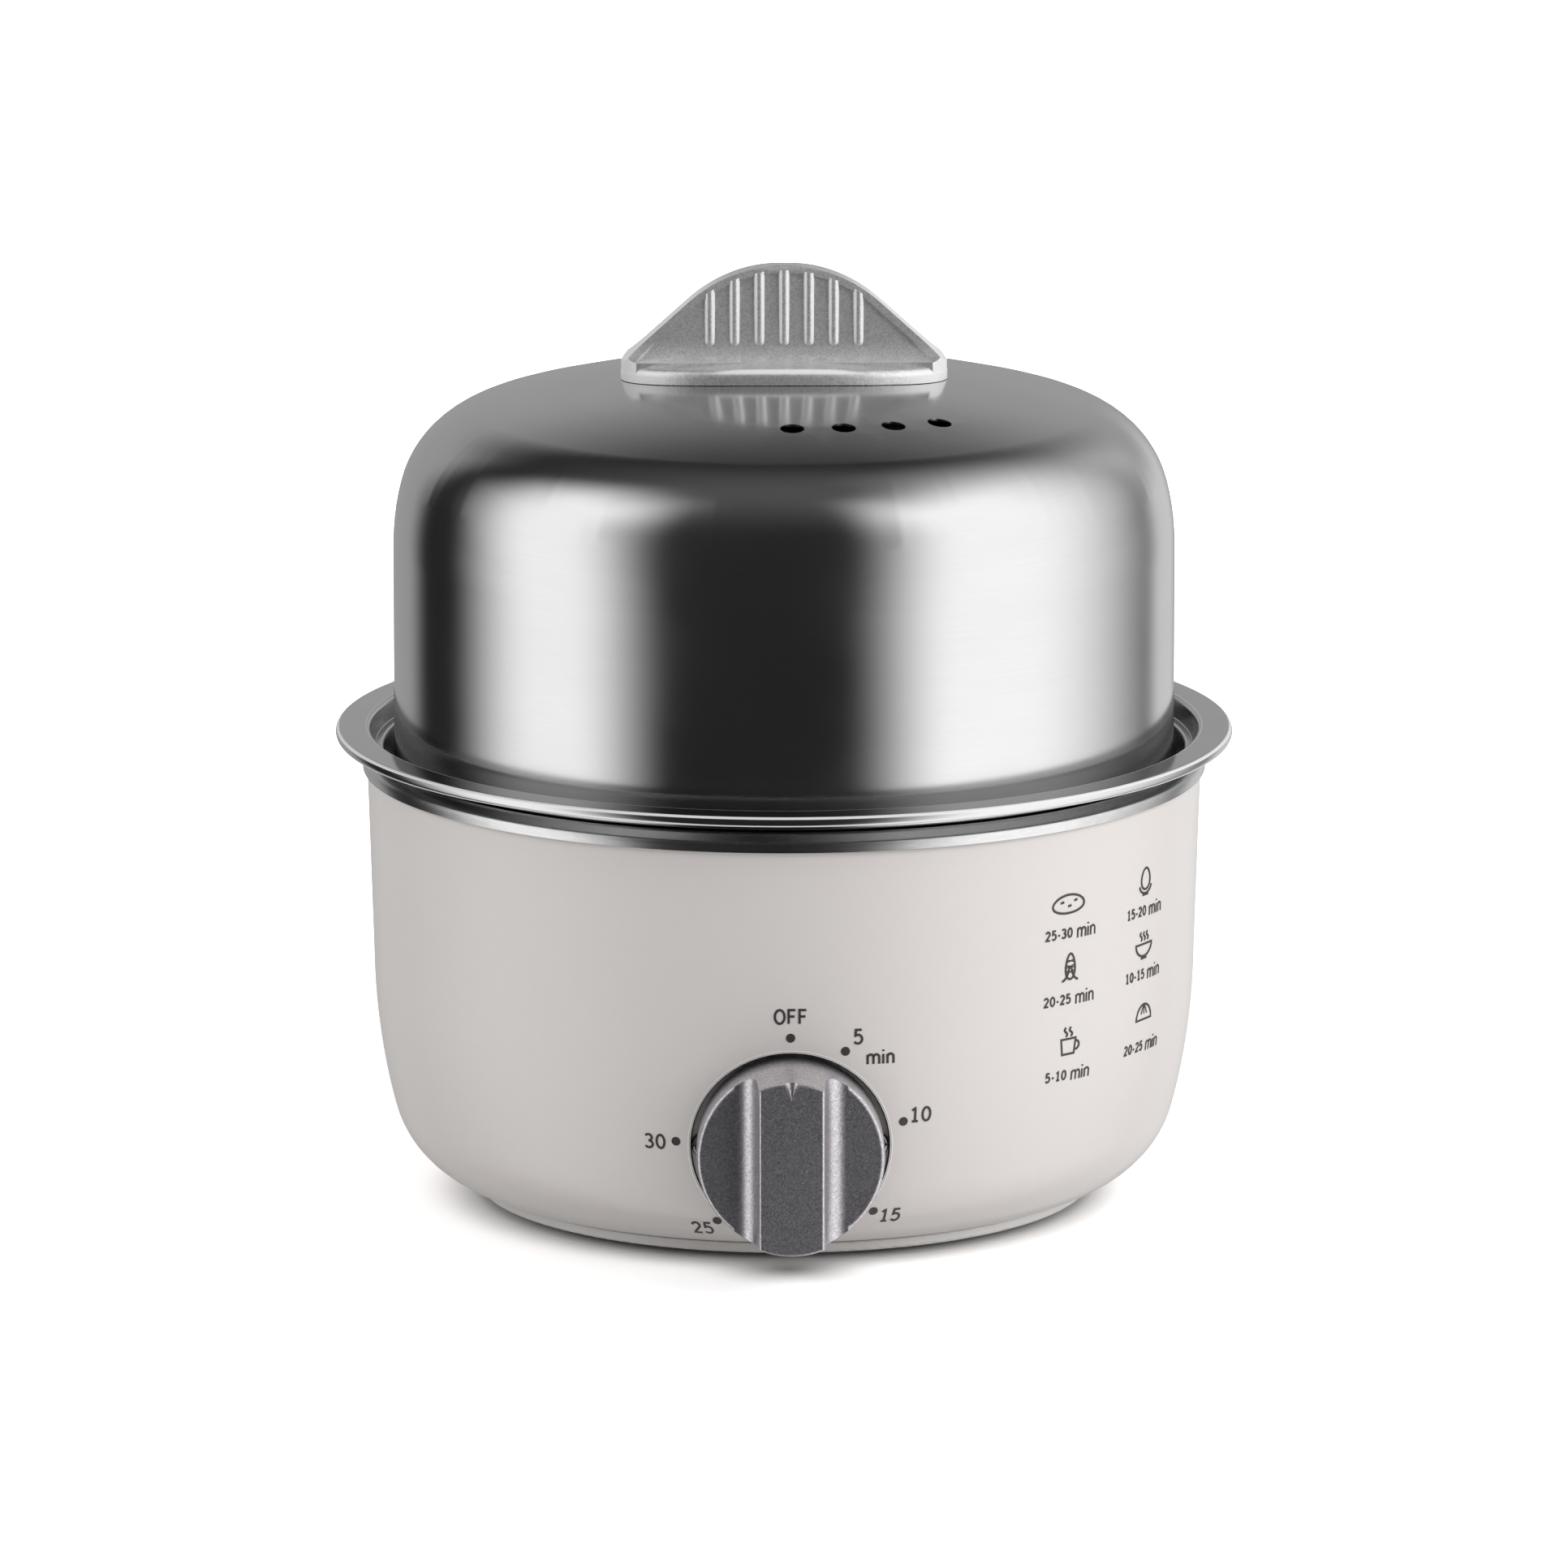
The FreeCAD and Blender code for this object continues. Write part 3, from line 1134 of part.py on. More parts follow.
LID_BOTTOM_Z = LID_LEDGE_Z + LIFT_GAP
LOWER_TURN = math.radians(LID_LOWER_TURN_DEG)
CORNER_CENTRE = (
    LID_R - LID_LOWER_ARC + (LID_LOWER_ARC - LID_CORNER_ARC) * math.cos(LOWER_TURN),
    LID_WALL_TOP_Z + (LID_LOWER_ARC - LID_CORNER_ARC) * math.sin(LOWER_TURN),
)
CROWN_TURN = math.asin(CORNER_CENTRE[0] / (LID_CROWN_ARC - LID_CORNER_ARC))
CROWN_CENTRE_Z = CORNER_CENTRE[1] - (LID_CROWN_ARC - LID_CORNER_ARC) * math.cos(CROWN_TURN)
LID_TOP_Z = CROWN_CENTRE_Z + LID_CROWN_ARC


def crown_ball(above):
    """Ball whose top follows the lid's crown at a distance above it."""
    return Part.makeSphere(LID_CROWN_ARC + above, Vector(0, 0, CROWN_CENTRE_Z))


def make_lid_dome():
    """Spun lid: straight wall, round shoulder and shallow crown, with steam vents and handle holes."""
    crown_deg = math.degrees(CROWN_TURN)
    moves = [
        LID_WALL_TOP_Z - LID_BOTTOM_Z,
        (LID_LOWER_ARC, LID_LOWER_TURN_DEG),
        (LID_CORNER_ARC, 90 - LID_LOWER_TURN_DEG - crown_deg),
        (LID_CROWN_ARC, crown_deg),
    ]
    outside = path_edges((LID_R, LID_BOTTOM_Z), 90, moves)
    inside = path_edges((LID_R, LID_BOTTOM_Z), 90, moves, SHEET)
    closing = [Part.makeLine(a, b) for a, b in zip(ends(outside), ends(inside))]
    dome = turned(face_of(outside + inside + closing))
    holes = []
    hole_low = LID_TOP_Z - HANDLE_SCREW_LENGTH
    for i in range(VENT_HOLE_COUNT):
        vent = polar(VENT_ARC_R, VENT_FIRST_DEG + VENT_STEP_DEG * i)
        holes.append(cylinder(VENT_HOLE_R, hole_low, LID_TOP_Z, vent.x, VENT_ARC_CENTRE_Y + vent.y))
    for side in (-1, 1):
        holes.append(cylinder(LID_SCREW_HOLE_R, hole_low, LID_TOP_Z, side * HANDLE_SCREW_X))
    return dome.cut(holes)


HANDLE_TOP_Z = LID_TOP_Z + HANDLE_TOP_ABOVE_LID


def oval_prism(inset):
    """Upright prism through the handle's oval outline, moved inwards by an inset."""
    low = LID_TOP_Z - 8
    outline = Part.Ellipse(Vector(0, 0, low), HANDLE_LENGTH / 2 - inset, HANDLE_DEPTH / 2 - inset)
    return Part.Face(Part.Wire([outline.toShape()])).extrude(Vector(0, 0, HANDLE_TOP_Z + 1 - low))


def arch_prism(inset):
    """Prism through the fin's front outline: an arched top on straight flanks, moved inwards by an inset."""
    flank = math.radians(HANDLE_FLANK_DEG)
    radius = HANDLE_ARC - inset
    low = LID_TOP_Z - 6
    peak = Vector(0, -HANDLE_DEPTH, HANDLE_TOP_Z - HANDLE_ARC + radius / math.cos(flank))
    foot_x = (peak.z - low) / math.tan(flank)
    corners = [peak, Vector(foot_x, -HANDLE_DEPTH, low), Vector(-foot_x, -HANDLE_DEPTH, low)]
    return polygon_prism(corners, [radius, 0, 0], Vector(0, 2 * HANDLE_DEPTH, 0))


def fin_prism(sunk):
    """Prism through the fin's side outline: a tapered blade that runs out in a cove on the foot.

    Sunk moves both faces of the blade inwards."""
    root = LID_TOP_Z + HANDLE_FOOT_HEIGHT - HANDLE_DISH_DEPTH - 0.2
    low = root - 4
    top_half = FIN_TOP_THICKNESS / 2 - sunk
    root_half = FIN_ROOT_THICKNESS / 2 - sunk
    skirt_half = root_half + FIN_COVE + 0.3
    outline = [
        (-skirt_half, low), (skirt_half, low), (skirt_half, root), (root_half, root),
        (top_half, HANDLE_TOP_Z), (-top_half, HANDLE_TOP_Z), (-root_half, root), (-skirt_half, root),
    ]
    radii = [0, 0, 0, FIN_COVE, FIN_TOP_EDGE, FIN_TOP_EDGE, FIN_COVE, 0]
    corners = [Vector(-HANDLE_LENGTH / 2, y, z) for y, z in outline]
    return polygon_prism(corners, radii, Vector(HANDLE_LENGTH, 0, 0))


def handle_ribs(side):
    """Upright round ribs on one face of the fin, cut off under the arched rim and round at their feet."""
    foot_z = LID_TOP_Z + RIB_FOOT_ABOVE_LID
    face_y = side * (FIN_TOP_THICKNESS / 2 - FIN_PANEL_DEPTH + 0.1)
    under_rim = arch_prism(FIN_RIM_BAND * 0.6)
    ribs = []
    for i in range(RIB_COUNT):
        foot = Vector((i - (RIB_COUNT - 1) / 2) * RIB_PITCH, face_y, foot_z)
        bar = Part.makeCylinder(RIB_WIDTH / 2, HANDLE_TOP_Z - foot_z, foot)
        ribs.append(bar.fuse(Part.makeSphere(RIB_WIDTH / 2, foot)).common(under_rim))
    return ribs


def handle_foot():
    """Oval foot with a rounded edge, a shallow dish inside a raised rim, and a seat for the seal below."""
    foot = oval_prism(0).common(crown_ball(HANDLE_FOOT_HEIGHT))
    top_edges = [edge for edge in foot.Edges if edge.BoundBox.ZMin > LID_TOP_Z - 2]
    foot = foot.makeFillet(HANDLE_FOOT_EDGE, top_edges)
    dish = oval_prism(HANDLE_FOOT_RIM).cut(crown_ball(HANDLE_FOOT_HEIGHT - HANDLE_DISH_DEPTH))
    seat = oval_prism(GASKET_INSET - PIN_GAP).common(crown_ball(GASKET_THICKNESS))
    return foot.cut(dish).cut(crown_ball(PIN_GAP)).cut(seat)


def make_lid_handle():
    """Moulded handle: foot, blade with a rim round its sunk faces, ribs on both, and blind screw holes."""
    rim = fin_prism(0).common(arch_prism(0).cut(arch_prism(FIN_RIM_BAND)))
    blade = fin_prism(FIN_PANEL_DEPTH).common(arch_prism(0)).fuse(rim).common(oval_prism(PIN_GAP))
    blade = blade.cut(crown_ball(HANDLE_FOOT_HEIGHT / 2))
    hole_top = LID_TOP_Z + HANDLE_SCREW_DEPTH
    hole_low = LID_TOP_Z - HANDLE_SCREW_LENGTH
    holes = [cylinder(SCREW_HOLE_R, hole_low, hole_top, s * HANDLE_SCREW_X) for s in (-1, 1)]
    return joined([blade, handle_foot()] + handle_ribs(-1) + handle_ribs(1)).cut(holes)


def make_handle_gasket():
    """Thin seal between the handle's foot and the dome."""
    seal = oval_prism(GASKET_INSET).common(crown_ball(GASKET_THICKNESS)).cut(crown_ball(0))
    low = LID_TOP_Z - HANDLE_SCREW_LENGTH
    return seal.cut([cylinder(LID_SCREW_HOLE_R, low, HANDLE_TOP_Z, s * HANDLE_SCREW_X) for s in (-1, 1)])


WASHER_GAP = 0.5
SCREW_SEAT_Z = LID_TOP_Z - SHEET - HANDLE_SCREW_X ** 2 / (2 * LID_CROWN_ARC) - WASHER_GAP


def make_handle_washers():
    """Washers between the lid's inside and the screw heads."""
    low = SCREW_SEAT_Z - WASHER_THICKNESS
    washers = []
    for side in (-1, 1):
        x = side * HANDLE_SCREW_X
        ring = cylinder(WASHER_R, low, SCREW_SEAT_Z, x)
        washers.append(ring.cut(cylinder(CLEARANCE_HOLE_R, low, SCREW_SEAT_Z, x)))
    return group(washers)


def make_handle_screws():
    """Two screws from inside the lid up into the handle."""
    one = screw(HANDLE_SCREW_HEAD_R, HANDLE_SCREW_HEAD_HEIGHT, SCREW_SHANK_R, HANDLE_SCREW_LENGTH)
    seat = SCREW_SEAT_Z - WASHER_THICKNESS
    return group([placed(one, Vector(s * HANDLE_SCREW_X, 0, seat), Vector(0, 0, -1)) for s in (-1, 1)])


# Mains entry and wiring

def make_cord_gland():
    """Bush at the back that the mains lead would pass through."""
    back = Vector(0, 1, 0)
    bush = Part.makeCylinder(GLAND_BODY_R, GLAND_FLAT_Y - GLAND_INNER_Y, Vector(0, GLAND_INNER_Y, GLAND_Z), back)
    flange = Part.makeCylinder(GLAND_FLANGE_R, GLAND_FLANGE_THICKNESS, Vector(0, GLAND_FLAT_Y, GLAND_Z), back)
    nose_foot = Vector(0, GLAND_FLAT_Y + GLAND_FLANGE_THICKNESS, GLAND_Z)
    nose = Part.makeCone(GLAND_NOSE_ROOT_R, GLAND_NOSE_TIP_R, GLAND_NOSE_LENGTH, nose_foot, back)
    bore = Part.makeCylinder(GLAND_BORE_R, 40, Vector(0, GLAND_INNER_Y - 5, GLAND_Z), back)
    return joined([bush, flange, nose]).cut(bore)


def make_gland_nut():
    """Nut that clamps the bush from inside."""
    nut = hexagon(GLAND_NUT_FLATS, 0, GLAND_NUT_HEIGHT, GLAND_BODY_R + PIN_GAP)
    return placed(nut, Vector(0, GLAND_NUT_Y, GLAND_Z), Vector(0, 1, 0))


BLOCK_MIDDLE_Y = (BLOCK_FRONT_Y + BLOCK_BACK_Y) / 2


def make_terminal_block():
    """Ceramic block on the bottom cover where the mains lead is joined to the inner wires."""
    half = BLOCK_LENGTH / 2
    block = box(-half, half, BLOCK_FRONT_Y, BLOCK_BACK_Y, OPENING_Z, BLOCK_TOP_Z)
    cuts = []
    for x in (-POLE_X, 0, POLE_X):
        cuts.append(cylinder(POLE_HOLE_R, BLOCK_WIRE_Z + 1, BLOCK_TOP_Z, x, BLOCK_MIDDLE_Y))
    return block.cut(cuts)


def make_terminal_screws():
    """Clamping screws of the three poles."""
    one = screw(POLE_SCREW_HEAD_R, POLE_SCREW_HEAD_HEIGHT, SCREW_SHANK_R, POLE_SCREW_LENGTH)
    seat_z = BLOCK_WIRE_Z + 1 + POLE_SCREW_LENGTH
    return group([placed(one, Vector(x, BLOCK_MIDDLE_Y, seat_z)) for x in (-POLE_X, 0, POLE_X)])


def make_supply_wires():
    """Two cores from the gland's bore down to the terminal block."""
    cores = []
    for side in (-1, 1):
        route = [
            Vector(side * SUPPLY_CORE_X, GLAND_INNER_Y - 6, GLAND_Z),
            Vector(side * SUPPLY_CORE_X, SUPPLY_DROP_Y, GLAND_Z),
            Vector(side * POLE_X, SUPPLY_DROP_Y, BLOCK_WIRE_Z),
            Vector(side * POLE_X, BLOCK_BACK_Y, BLOCK_WIRE_Z),
        ]
        cores.append(tube(route, TIGHT_BEND_R, WIRE_R))
    return group(cores)


def make_live_wire():
    """Wire from the terminal block forwards to the timer."""
    tab_z = KNOB_Z + TIMER_TAB_DROP
    route = [
        Vector(-POLE_X, BLOCK_FRONT_Y, BLOCK_WIRE_Z),
        Vector(-POLE_X, 18, BLOCK_WIRE_Z),
        Vector(-22, -4, BLOCK_WIRE_Z),
        Vector(-TIMER_TAB_X, -26, tab_z),
        Vector(-TIMER_TAB_X, -TIMER_TAB_END, tab_z),
    ]
    return tube(route, WIRE_BEND_R, WIRE_R)


def make_switched_wire():
    """Wire from the timer to the thermostat."""
    tab_z = KNOB_Z + TIMER_TAB_DROP
    route = [
        Vector(TIMER_TAB_X, -TIMER_TAB_END, tab_z),
        Vector(TIMER_TAB_X, -30, tab_z),
        Vector(14, -16, LOW_ROUTE_Z),
        Vector(THERMOSTAT_TAB_X, 0, LOW_ROUTE_Z),
        Vector(THERMOSTAT_TAB_X, 0, THERMOSTAT_TAB_LOW_Z),
    ]
    return tube(route, TIGHT_BEND_R, WIRE_R)


def make_element_wires(leg_ends):
    """Wires from the thermostat and from the terminal block to the element's two pins."""
    pin_low = ELEMENT_LEG_END_Z - ELEMENT_PIN_LENGTH - SPADE_LENGTH
    ordered = sorted(leg_ends, key=lambda p: p.x)
    switched = [
        Vector(-THERMOSTAT_TAB_X, 0, THERMOSTAT_TAB_LOW_Z),
        Vector(-THERMOSTAT_TAB_X, 0, HIGH_ROUTE_Z),
        Vector(ordered[0].x, ordered[0].y, HIGH_ROUTE_Z),
        Vector(ordered[0].x, ordered[0].y, pin_low),
    ]
    neutral = [
        Vector(POLE_X, BLOCK_FRONT_Y, BLOCK_WIRE_Z),
        Vector(POLE_X, 22, BLOCK_WIRE_Z),
        Vector(ordered[1].x + 8, ordered[1].y - 8, 16),
        Vector(ordered[1].x, ordered[1].y, 19),
        Vector(ordered[1].x, ordered[1].y, pin_low),
    ]
    return group([tube(switched, TIGHT_BEND_R, WIRE_R), tube(neutral, TIGHTEST_BEND_R, WIRE_R)])


# All nodes

def main():
    element, leg_ends = make_heating_element()
    nodes = {
        "housing": make_housing(),
        "bottom_cover": make_bottom_cover(),
        "bottom_cover_screws": make_cover_screws(),
        "heating_basin": make_basin(),
        "heater_plate": make_heater_plate(),
        "heating_element": element,
        "element_pins": make_element_pins(leg_ends),
        "reflector_plate": make_reflector(leg_ends),
        "reflector_studs": make_reflector_studs(),
        "reflector_nuts": make_reflector_nuts(),
        "thermostat_cap": make_thermostat_cap(),
        "thermostat_body": make_thermostat_body(),
        "thermostat_tabs": make_thermostat_tabs(),
        "thermostat_screws": make_thermostat_screws(),
        "thermal_fuse": make_thermal_fuse(),
        "fuse_clip": make_fuse_clip(),
        "pan_bracket_screws": make_bracket_screws(),
        "timer_front_plate": make_timer_plate(),
        "timer_case": make_timer_case(),
        "timer_shaft": make_timer_shaft(),
        "timer_cam": make_timer_cam(),
        "timer_main_wheel": make_main_wheel(),
        "timer_escape_arbor": make_escape_arbor(),
        "timer_spring_barrel": make_spring_barrel(),
        "timer_contact_block": make_contact_block(),
        "timer_contact_blades": make_contact_blades(),
        "timer_tabs": make_timer_tabs(),
        "timer_screws": make_timer_screws(),
        "knob": make_knob(),
        "knob_clip": make_knob_clip(),
        "egg_tray": make_egg_tray(),
        "steaming_bowl": make_steaming_bowl(),
        "lid_dome": make_lid_dome(),
        "lid_handle": make_lid_handle(),
        "handle_gasket": make_handle_gasket(),
        "handle_washers": make_handle_washers(),
        "handle_screws": make_handle_screws(),
        "cord_gland": make_cord_gland(),
        "gland_nut": make_gland_nut(),
        "terminal_block": make_terminal_block(),
        "terminal_screws": make_terminal_screws(),
        "supply_wires": make_supply_wires(),
        "live_wire": make_live_wire(),
        "switched_wire": make_switched_wire(),
        "element_wires": make_element_wires(leg_ends),
    }
    for i, angle in enumerate(FOOT_ANGLES, 1):
        nodes[f"foot_{i}"] = make_foot(angle)
    for i, angle in enumerate(BRACKET_ANGLES, 1):
        nodes[f"pan_bracket_{i}"] = make_pan_bracket(angle)
    for name, shape in nodes.items():
        write(name, shape)


main()
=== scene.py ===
import json
import math

import bmesh
import bpy
from mathutils import Matrix, Vector


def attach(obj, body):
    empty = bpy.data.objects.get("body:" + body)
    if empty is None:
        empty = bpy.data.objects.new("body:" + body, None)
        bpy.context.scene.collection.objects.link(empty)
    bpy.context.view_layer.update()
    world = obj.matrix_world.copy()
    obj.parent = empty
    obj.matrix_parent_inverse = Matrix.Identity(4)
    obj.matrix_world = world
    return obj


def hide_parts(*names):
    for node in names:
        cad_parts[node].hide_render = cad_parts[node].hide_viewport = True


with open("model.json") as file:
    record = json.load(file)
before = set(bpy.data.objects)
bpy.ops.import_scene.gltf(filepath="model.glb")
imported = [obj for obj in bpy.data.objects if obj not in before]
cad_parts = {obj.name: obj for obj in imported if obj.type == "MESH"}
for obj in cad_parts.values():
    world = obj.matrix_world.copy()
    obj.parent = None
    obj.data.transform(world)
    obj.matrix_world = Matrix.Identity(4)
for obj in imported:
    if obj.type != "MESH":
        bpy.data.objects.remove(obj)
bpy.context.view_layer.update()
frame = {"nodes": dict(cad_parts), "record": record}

# Looks of the egg boiler. Lengths in the tables below are in millimetres, angles in degrees, and an
# azimuth runs from the dial at the front, positive to the right.

MM = 0.001

# Camera, from the ellipses and the outline in the photograph
CAMERA_AZIMUTH = -0.9
CAMERA_ELEVATION = 12.17
CAMERA_DISTANCE = 3.0
CAMERA_TARGET = Vector((0, 0, 0.0869))
PIXELS_PER_METRE = 5850
IMAGE_PIXELS = 1932
SENSOR_MM = 36

# Housing outline, from its top edge down
HOUSING_TOP_Z = 92.0
HOUSING_TOP_R = 87.73
HOUSING_TAPER = math.radians(1.8)
HOUSING_STRAIGHT = 43.5
HOUSING_SIDE_ARC = 130.0
HOUSING_SIDE_END = math.radians(14.8)
HOUSING_FOOT_ARC = 21.5

# Shading of the CAD meshes: the distance in metres at which points are merged, and the sharpest angle that
# is still shaded as a bend
WELD_DISTANCE = 0.000001
CREASE_DEG = 28

# Prints on the housing: the ink's thickness, the dots, and the size and line width of letters and drawings
PRINT_HEIGHT = 0.08
DOT_R = 0.95
DOT_STEPS = 32
DIAL_CAP_HEIGHT = 3.4
DIAL_LINE = 0.5
TABLE_CAP_HEIGHT = 2.25
TABLE_LINE = 0.41
TABLE_UNIT_CAP_HEIGHT = 3.2
TABLE_UNIT_GAP = 1.3
LETTER_GAP = 0.24
ICON_LINE = 0.37
FINE_LINE = 0.26
THIN_LINE = 0.2
STROKE_STEP = 0.5
MITRE_LIMIT = 0.7
MERGE_DISTANCE = 0.001
SMALL_LETTER = 0.70
ICON_SCALE = 1.3
ICON_RISE = 0.9
STEAM_SWAY = 0.3
STEAM_WAVE = 6.3
STEAM_STEPS = 12

# Dial pocket in the housing, and the rings at its mouth: a pale ring that is a painted highlight on its
# edge, and a dark liner that is painted shade in the gap. Each ring's rows of radius and depth behind the
# housing's surface
POCKET_Z = 28.4
POCKET_R = 20.6
POCKET_DEPTH = 7.0
POCKET_STEPS = 180
# Rows of the pale ring, a painted highlight on the pocket's edge.
HIGHLIGHT_RING_ROWS = ((POCKET_R + 0.55, -0.02), (POCKET_R + 0.4, -0.05), (POCKET_R + 0.25, 0.0))
# Rows of the dark liner, painted shade inside the pocket.
SHADE_LINER_ROWS = ((POCKET_R + 0.28, -0.03), (POCKET_R - 0.1, 0.3), (POCKET_R - 0.3, 0.8),
              (POCKET_R - 0.3, POCKET_DEPTH))

# Egg tray and water basin, with the same sections as the CAD parts: the line through the middle of the
# sheet, from the edge to the floor, and the radius of each bend
SHEET = 0.5
TRAY_LINE = ((92.55, 98.25), (94.05, 98.25), (94.05, 99.95), (87.4, 99.95), (86.2, 95.95), (84.5, 95.95),
             (82.95, 89.75), (79.9, 89.75), (76.75, 71.75), (66.0, 71.75))
TRAY_BENDS = (0, 0.7, 0.9, 0.8, 0.5, 0.5, 0.6, 0.8, 6.25, 0)
BASIN_LINE = ((88.4, 91.5), (88.4, 93.1), (86.6, 95.15), (85.45, 95.15), (85.45, 89.0), (82.25, 86.0),
              (81.95, 55.75), (60.0, 55.75))
BASIN_BENDS = (0, 2.0, 1.3, 0.5, 0.8, 0.8, 10.25, 0)
HOLES_PER_CIRCLE = 6
EGG_HOLE_R = 17.0
EGG_CIRCLE_R = 48.0
EGG_START_DEG = 30
STEAM_HOLE_R = 3.0
STEAM_CIRCLES = (27.7, 60.0)
TURN_STEPS = 288
HOLE_STEPS = 48
BEND_STEPS = 8

# Where the tray's flange has the painted highlight lines, a pale finish on its outer bends and in a narrow
# band on top of its inner bend. Radii in millimetres, slopes in degrees from upright.
OUTER_BENDS_R = 92.5
OUTER_SLOPES = (32, 62)
INNER_BEND_R = 87.9
INNER_HALF_WIDTH = 0.35
INNER_SLOPES = (78, 89.5)

# Soft lamps: azimuth, elevation, distance and size in metres, and how bright they make a white surface
LAMPS = {
    "right_softbox": (68, 24, 1.6, 1.1, 0.58),
    "left_softbox": (-84, 24, 1.6, 0.9, 0.26),
}

# Floor: half its width in metres, the tone and fibres of its paper, and the distances from the middle in
# metres where it starts and ends to turn plain white
FLOOR_HALF = 4.0
PAPER_TONE = 0.86
FIBRE_TONE = 0.04
FIBRES_PER_METRE = 900.0
WHITE_START = 0.13
WHITE_END = 0.45

# Painted shadow for the camera, which deepens the real shadow under the base and under the dial's foot: its
# tone, what is added where the floor is clear, and the distances in metres over which it clears
SHADE_TONE = 0.3
CLEAR_TONE = 1.6
PAINTED_SHADOW_BASE = (0.057, 0.077)
PAINTED_SHADOW_DIAL = (-0.002, 0.017)
DIAL_FOOT_Y = -0.073
DIAL_SHADE_SHAPE = (0.8, 1.0, 1.0)

# Bright and grey cards round the set that the polished metal mirrors: the azimuths where a card starts
# and ends, how soft those edges are, the elevation where it ends at the top, that edge's softness, and
# its brightness. They lean inwards up to an elevation, and a mirror image of a mirror image is darker.
CARDS = {
    "left": (-98, -50, 19, 16, 60, 16, 1.05),
    "right": (34, 113, 17, 40, 64, 17, 1.12),
    "right_edge": (139, 166, 7, 7, 5, 8, 0.3),
}
CARD_LEAN = 0.0035
LEAN_END = 30.0
FIRST_MIRROR_DEPTH = 2.5
SECOND_MIRROR = 0.36
BACK_CARD_START = 139.0
BACK_CARD_SOFT = 8.0
BACK_CARD_TOP = 30.0
BACK_CARD_TOP_SOFT = 14.0
BACK_CARD_BRIGHTNESS = 0.33
DARK_SET = 0.016
DARK_CEILING = 0.07
CEILING_START = 35.0
OVERHEAD = 90.0
FILL_LIGHT = 0.5

# Painted highlight on the handle's ribs and foot: how far a surface faces aside or up where the painted
# highlight starts and is full, how metallic it is, and the distance in metres from the middle where the
# foot's rim starts
HIGHLIGHT_START = 0.3
HIGHLIGHT_END = 0.7
HIGHLIGHT_METALLIC = 0.1
FOOT_HIGHLIGHT_START = 0.0152
FOOT_HIGHLIGHT_END = 0.0164

# Shares in which the layers of a shared effect are mixed
WAVE_SHARE = 0.6
BROAD_LINES = (0.4, 0.04, 0.04)
BROAD_SHARE = 0.5
MARK_START = 0.3
MARK_END = 0.8
FLAKE_SHARE = 0.5
GRAIN_PER_FLAKE = 0.5


# Camera, light and floor

def outwards(azimuth, elevation):
    """Direction from the object towards an azimuth and an elevation in degrees."""
    turn, rise = math.radians(azimuth), math.radians(elevation)
    return Vector((math.sin(turn) * math.cos(rise), -math.cos(turn) * math.cos(rise), math.sin(rise)))


def make_camera():
    """Camera at the photograph's angle and distance."""
    back = outwards(CAMERA_AZIMUTH, CAMERA_ELEVATION)
    data = bpy.data.cameras.new("camera")
    data.sensor_width = SENSOR_MM
    data.lens = PIXELS_PER_METRE * CAMERA_DISTANCE / IMAGE_PIXELS * SENSOR_MM
    camera = bpy.data.objects.new("camera", data)
    camera.location = CAMERA_TARGET + back * CAMERA_DISTANCE
    camera.rotation_euler = (-back).to_track_quat("-Z", "Y").to_euler()
    bpy.context.scene.collection.objects.link(camera)
    bpy.context.scene.camera = camera


def add(tree, kind, inputs=None, **settings):
    """New node, with its settings and its inputs set to values or linked to sockets."""
    made = tree.nodes.new(kind)
    for name, value in settings.items():
        setattr(made, name, value)
    for name, value in (inputs or {}).items():
        if isinstance(value, bpy.types.NodeSocket):
            tree.links.new(value, made.inputs[name])
        else:
            made.inputs[name].default_value = value
    return made


def math_node(tree, operation, first, second=0.0, third=0.0):
    """Output of a math node."""
    return add(tree, "ShaderNodeMath", {0: first, 1: second, 2: third}, operation=operation).outputs[0]


def vector_node(tree, operation, first, second):
    """Vector output of a vector math node."""
    return add(tree, "ShaderNodeVectorMath", {0: first, 1: second}, operation=operation).outputs[0]


def soft_step(tree, value, low, high):
    """Smooth rise from 0 at low to 1 at high, or a fall where high is below low."""
    start, end, out = (low, high, (0.0, 1.0)) if low < high else (high, low, (1.0, 0.0))
    inputs = {"Value": value, "From Min": start, "From Max": end, "To Min": out[0], "To Max": out[1]}
    return add(tree, "ShaderNodeMapRange", inputs, interpolation_type="SMOOTHSTEP").outputs[0]


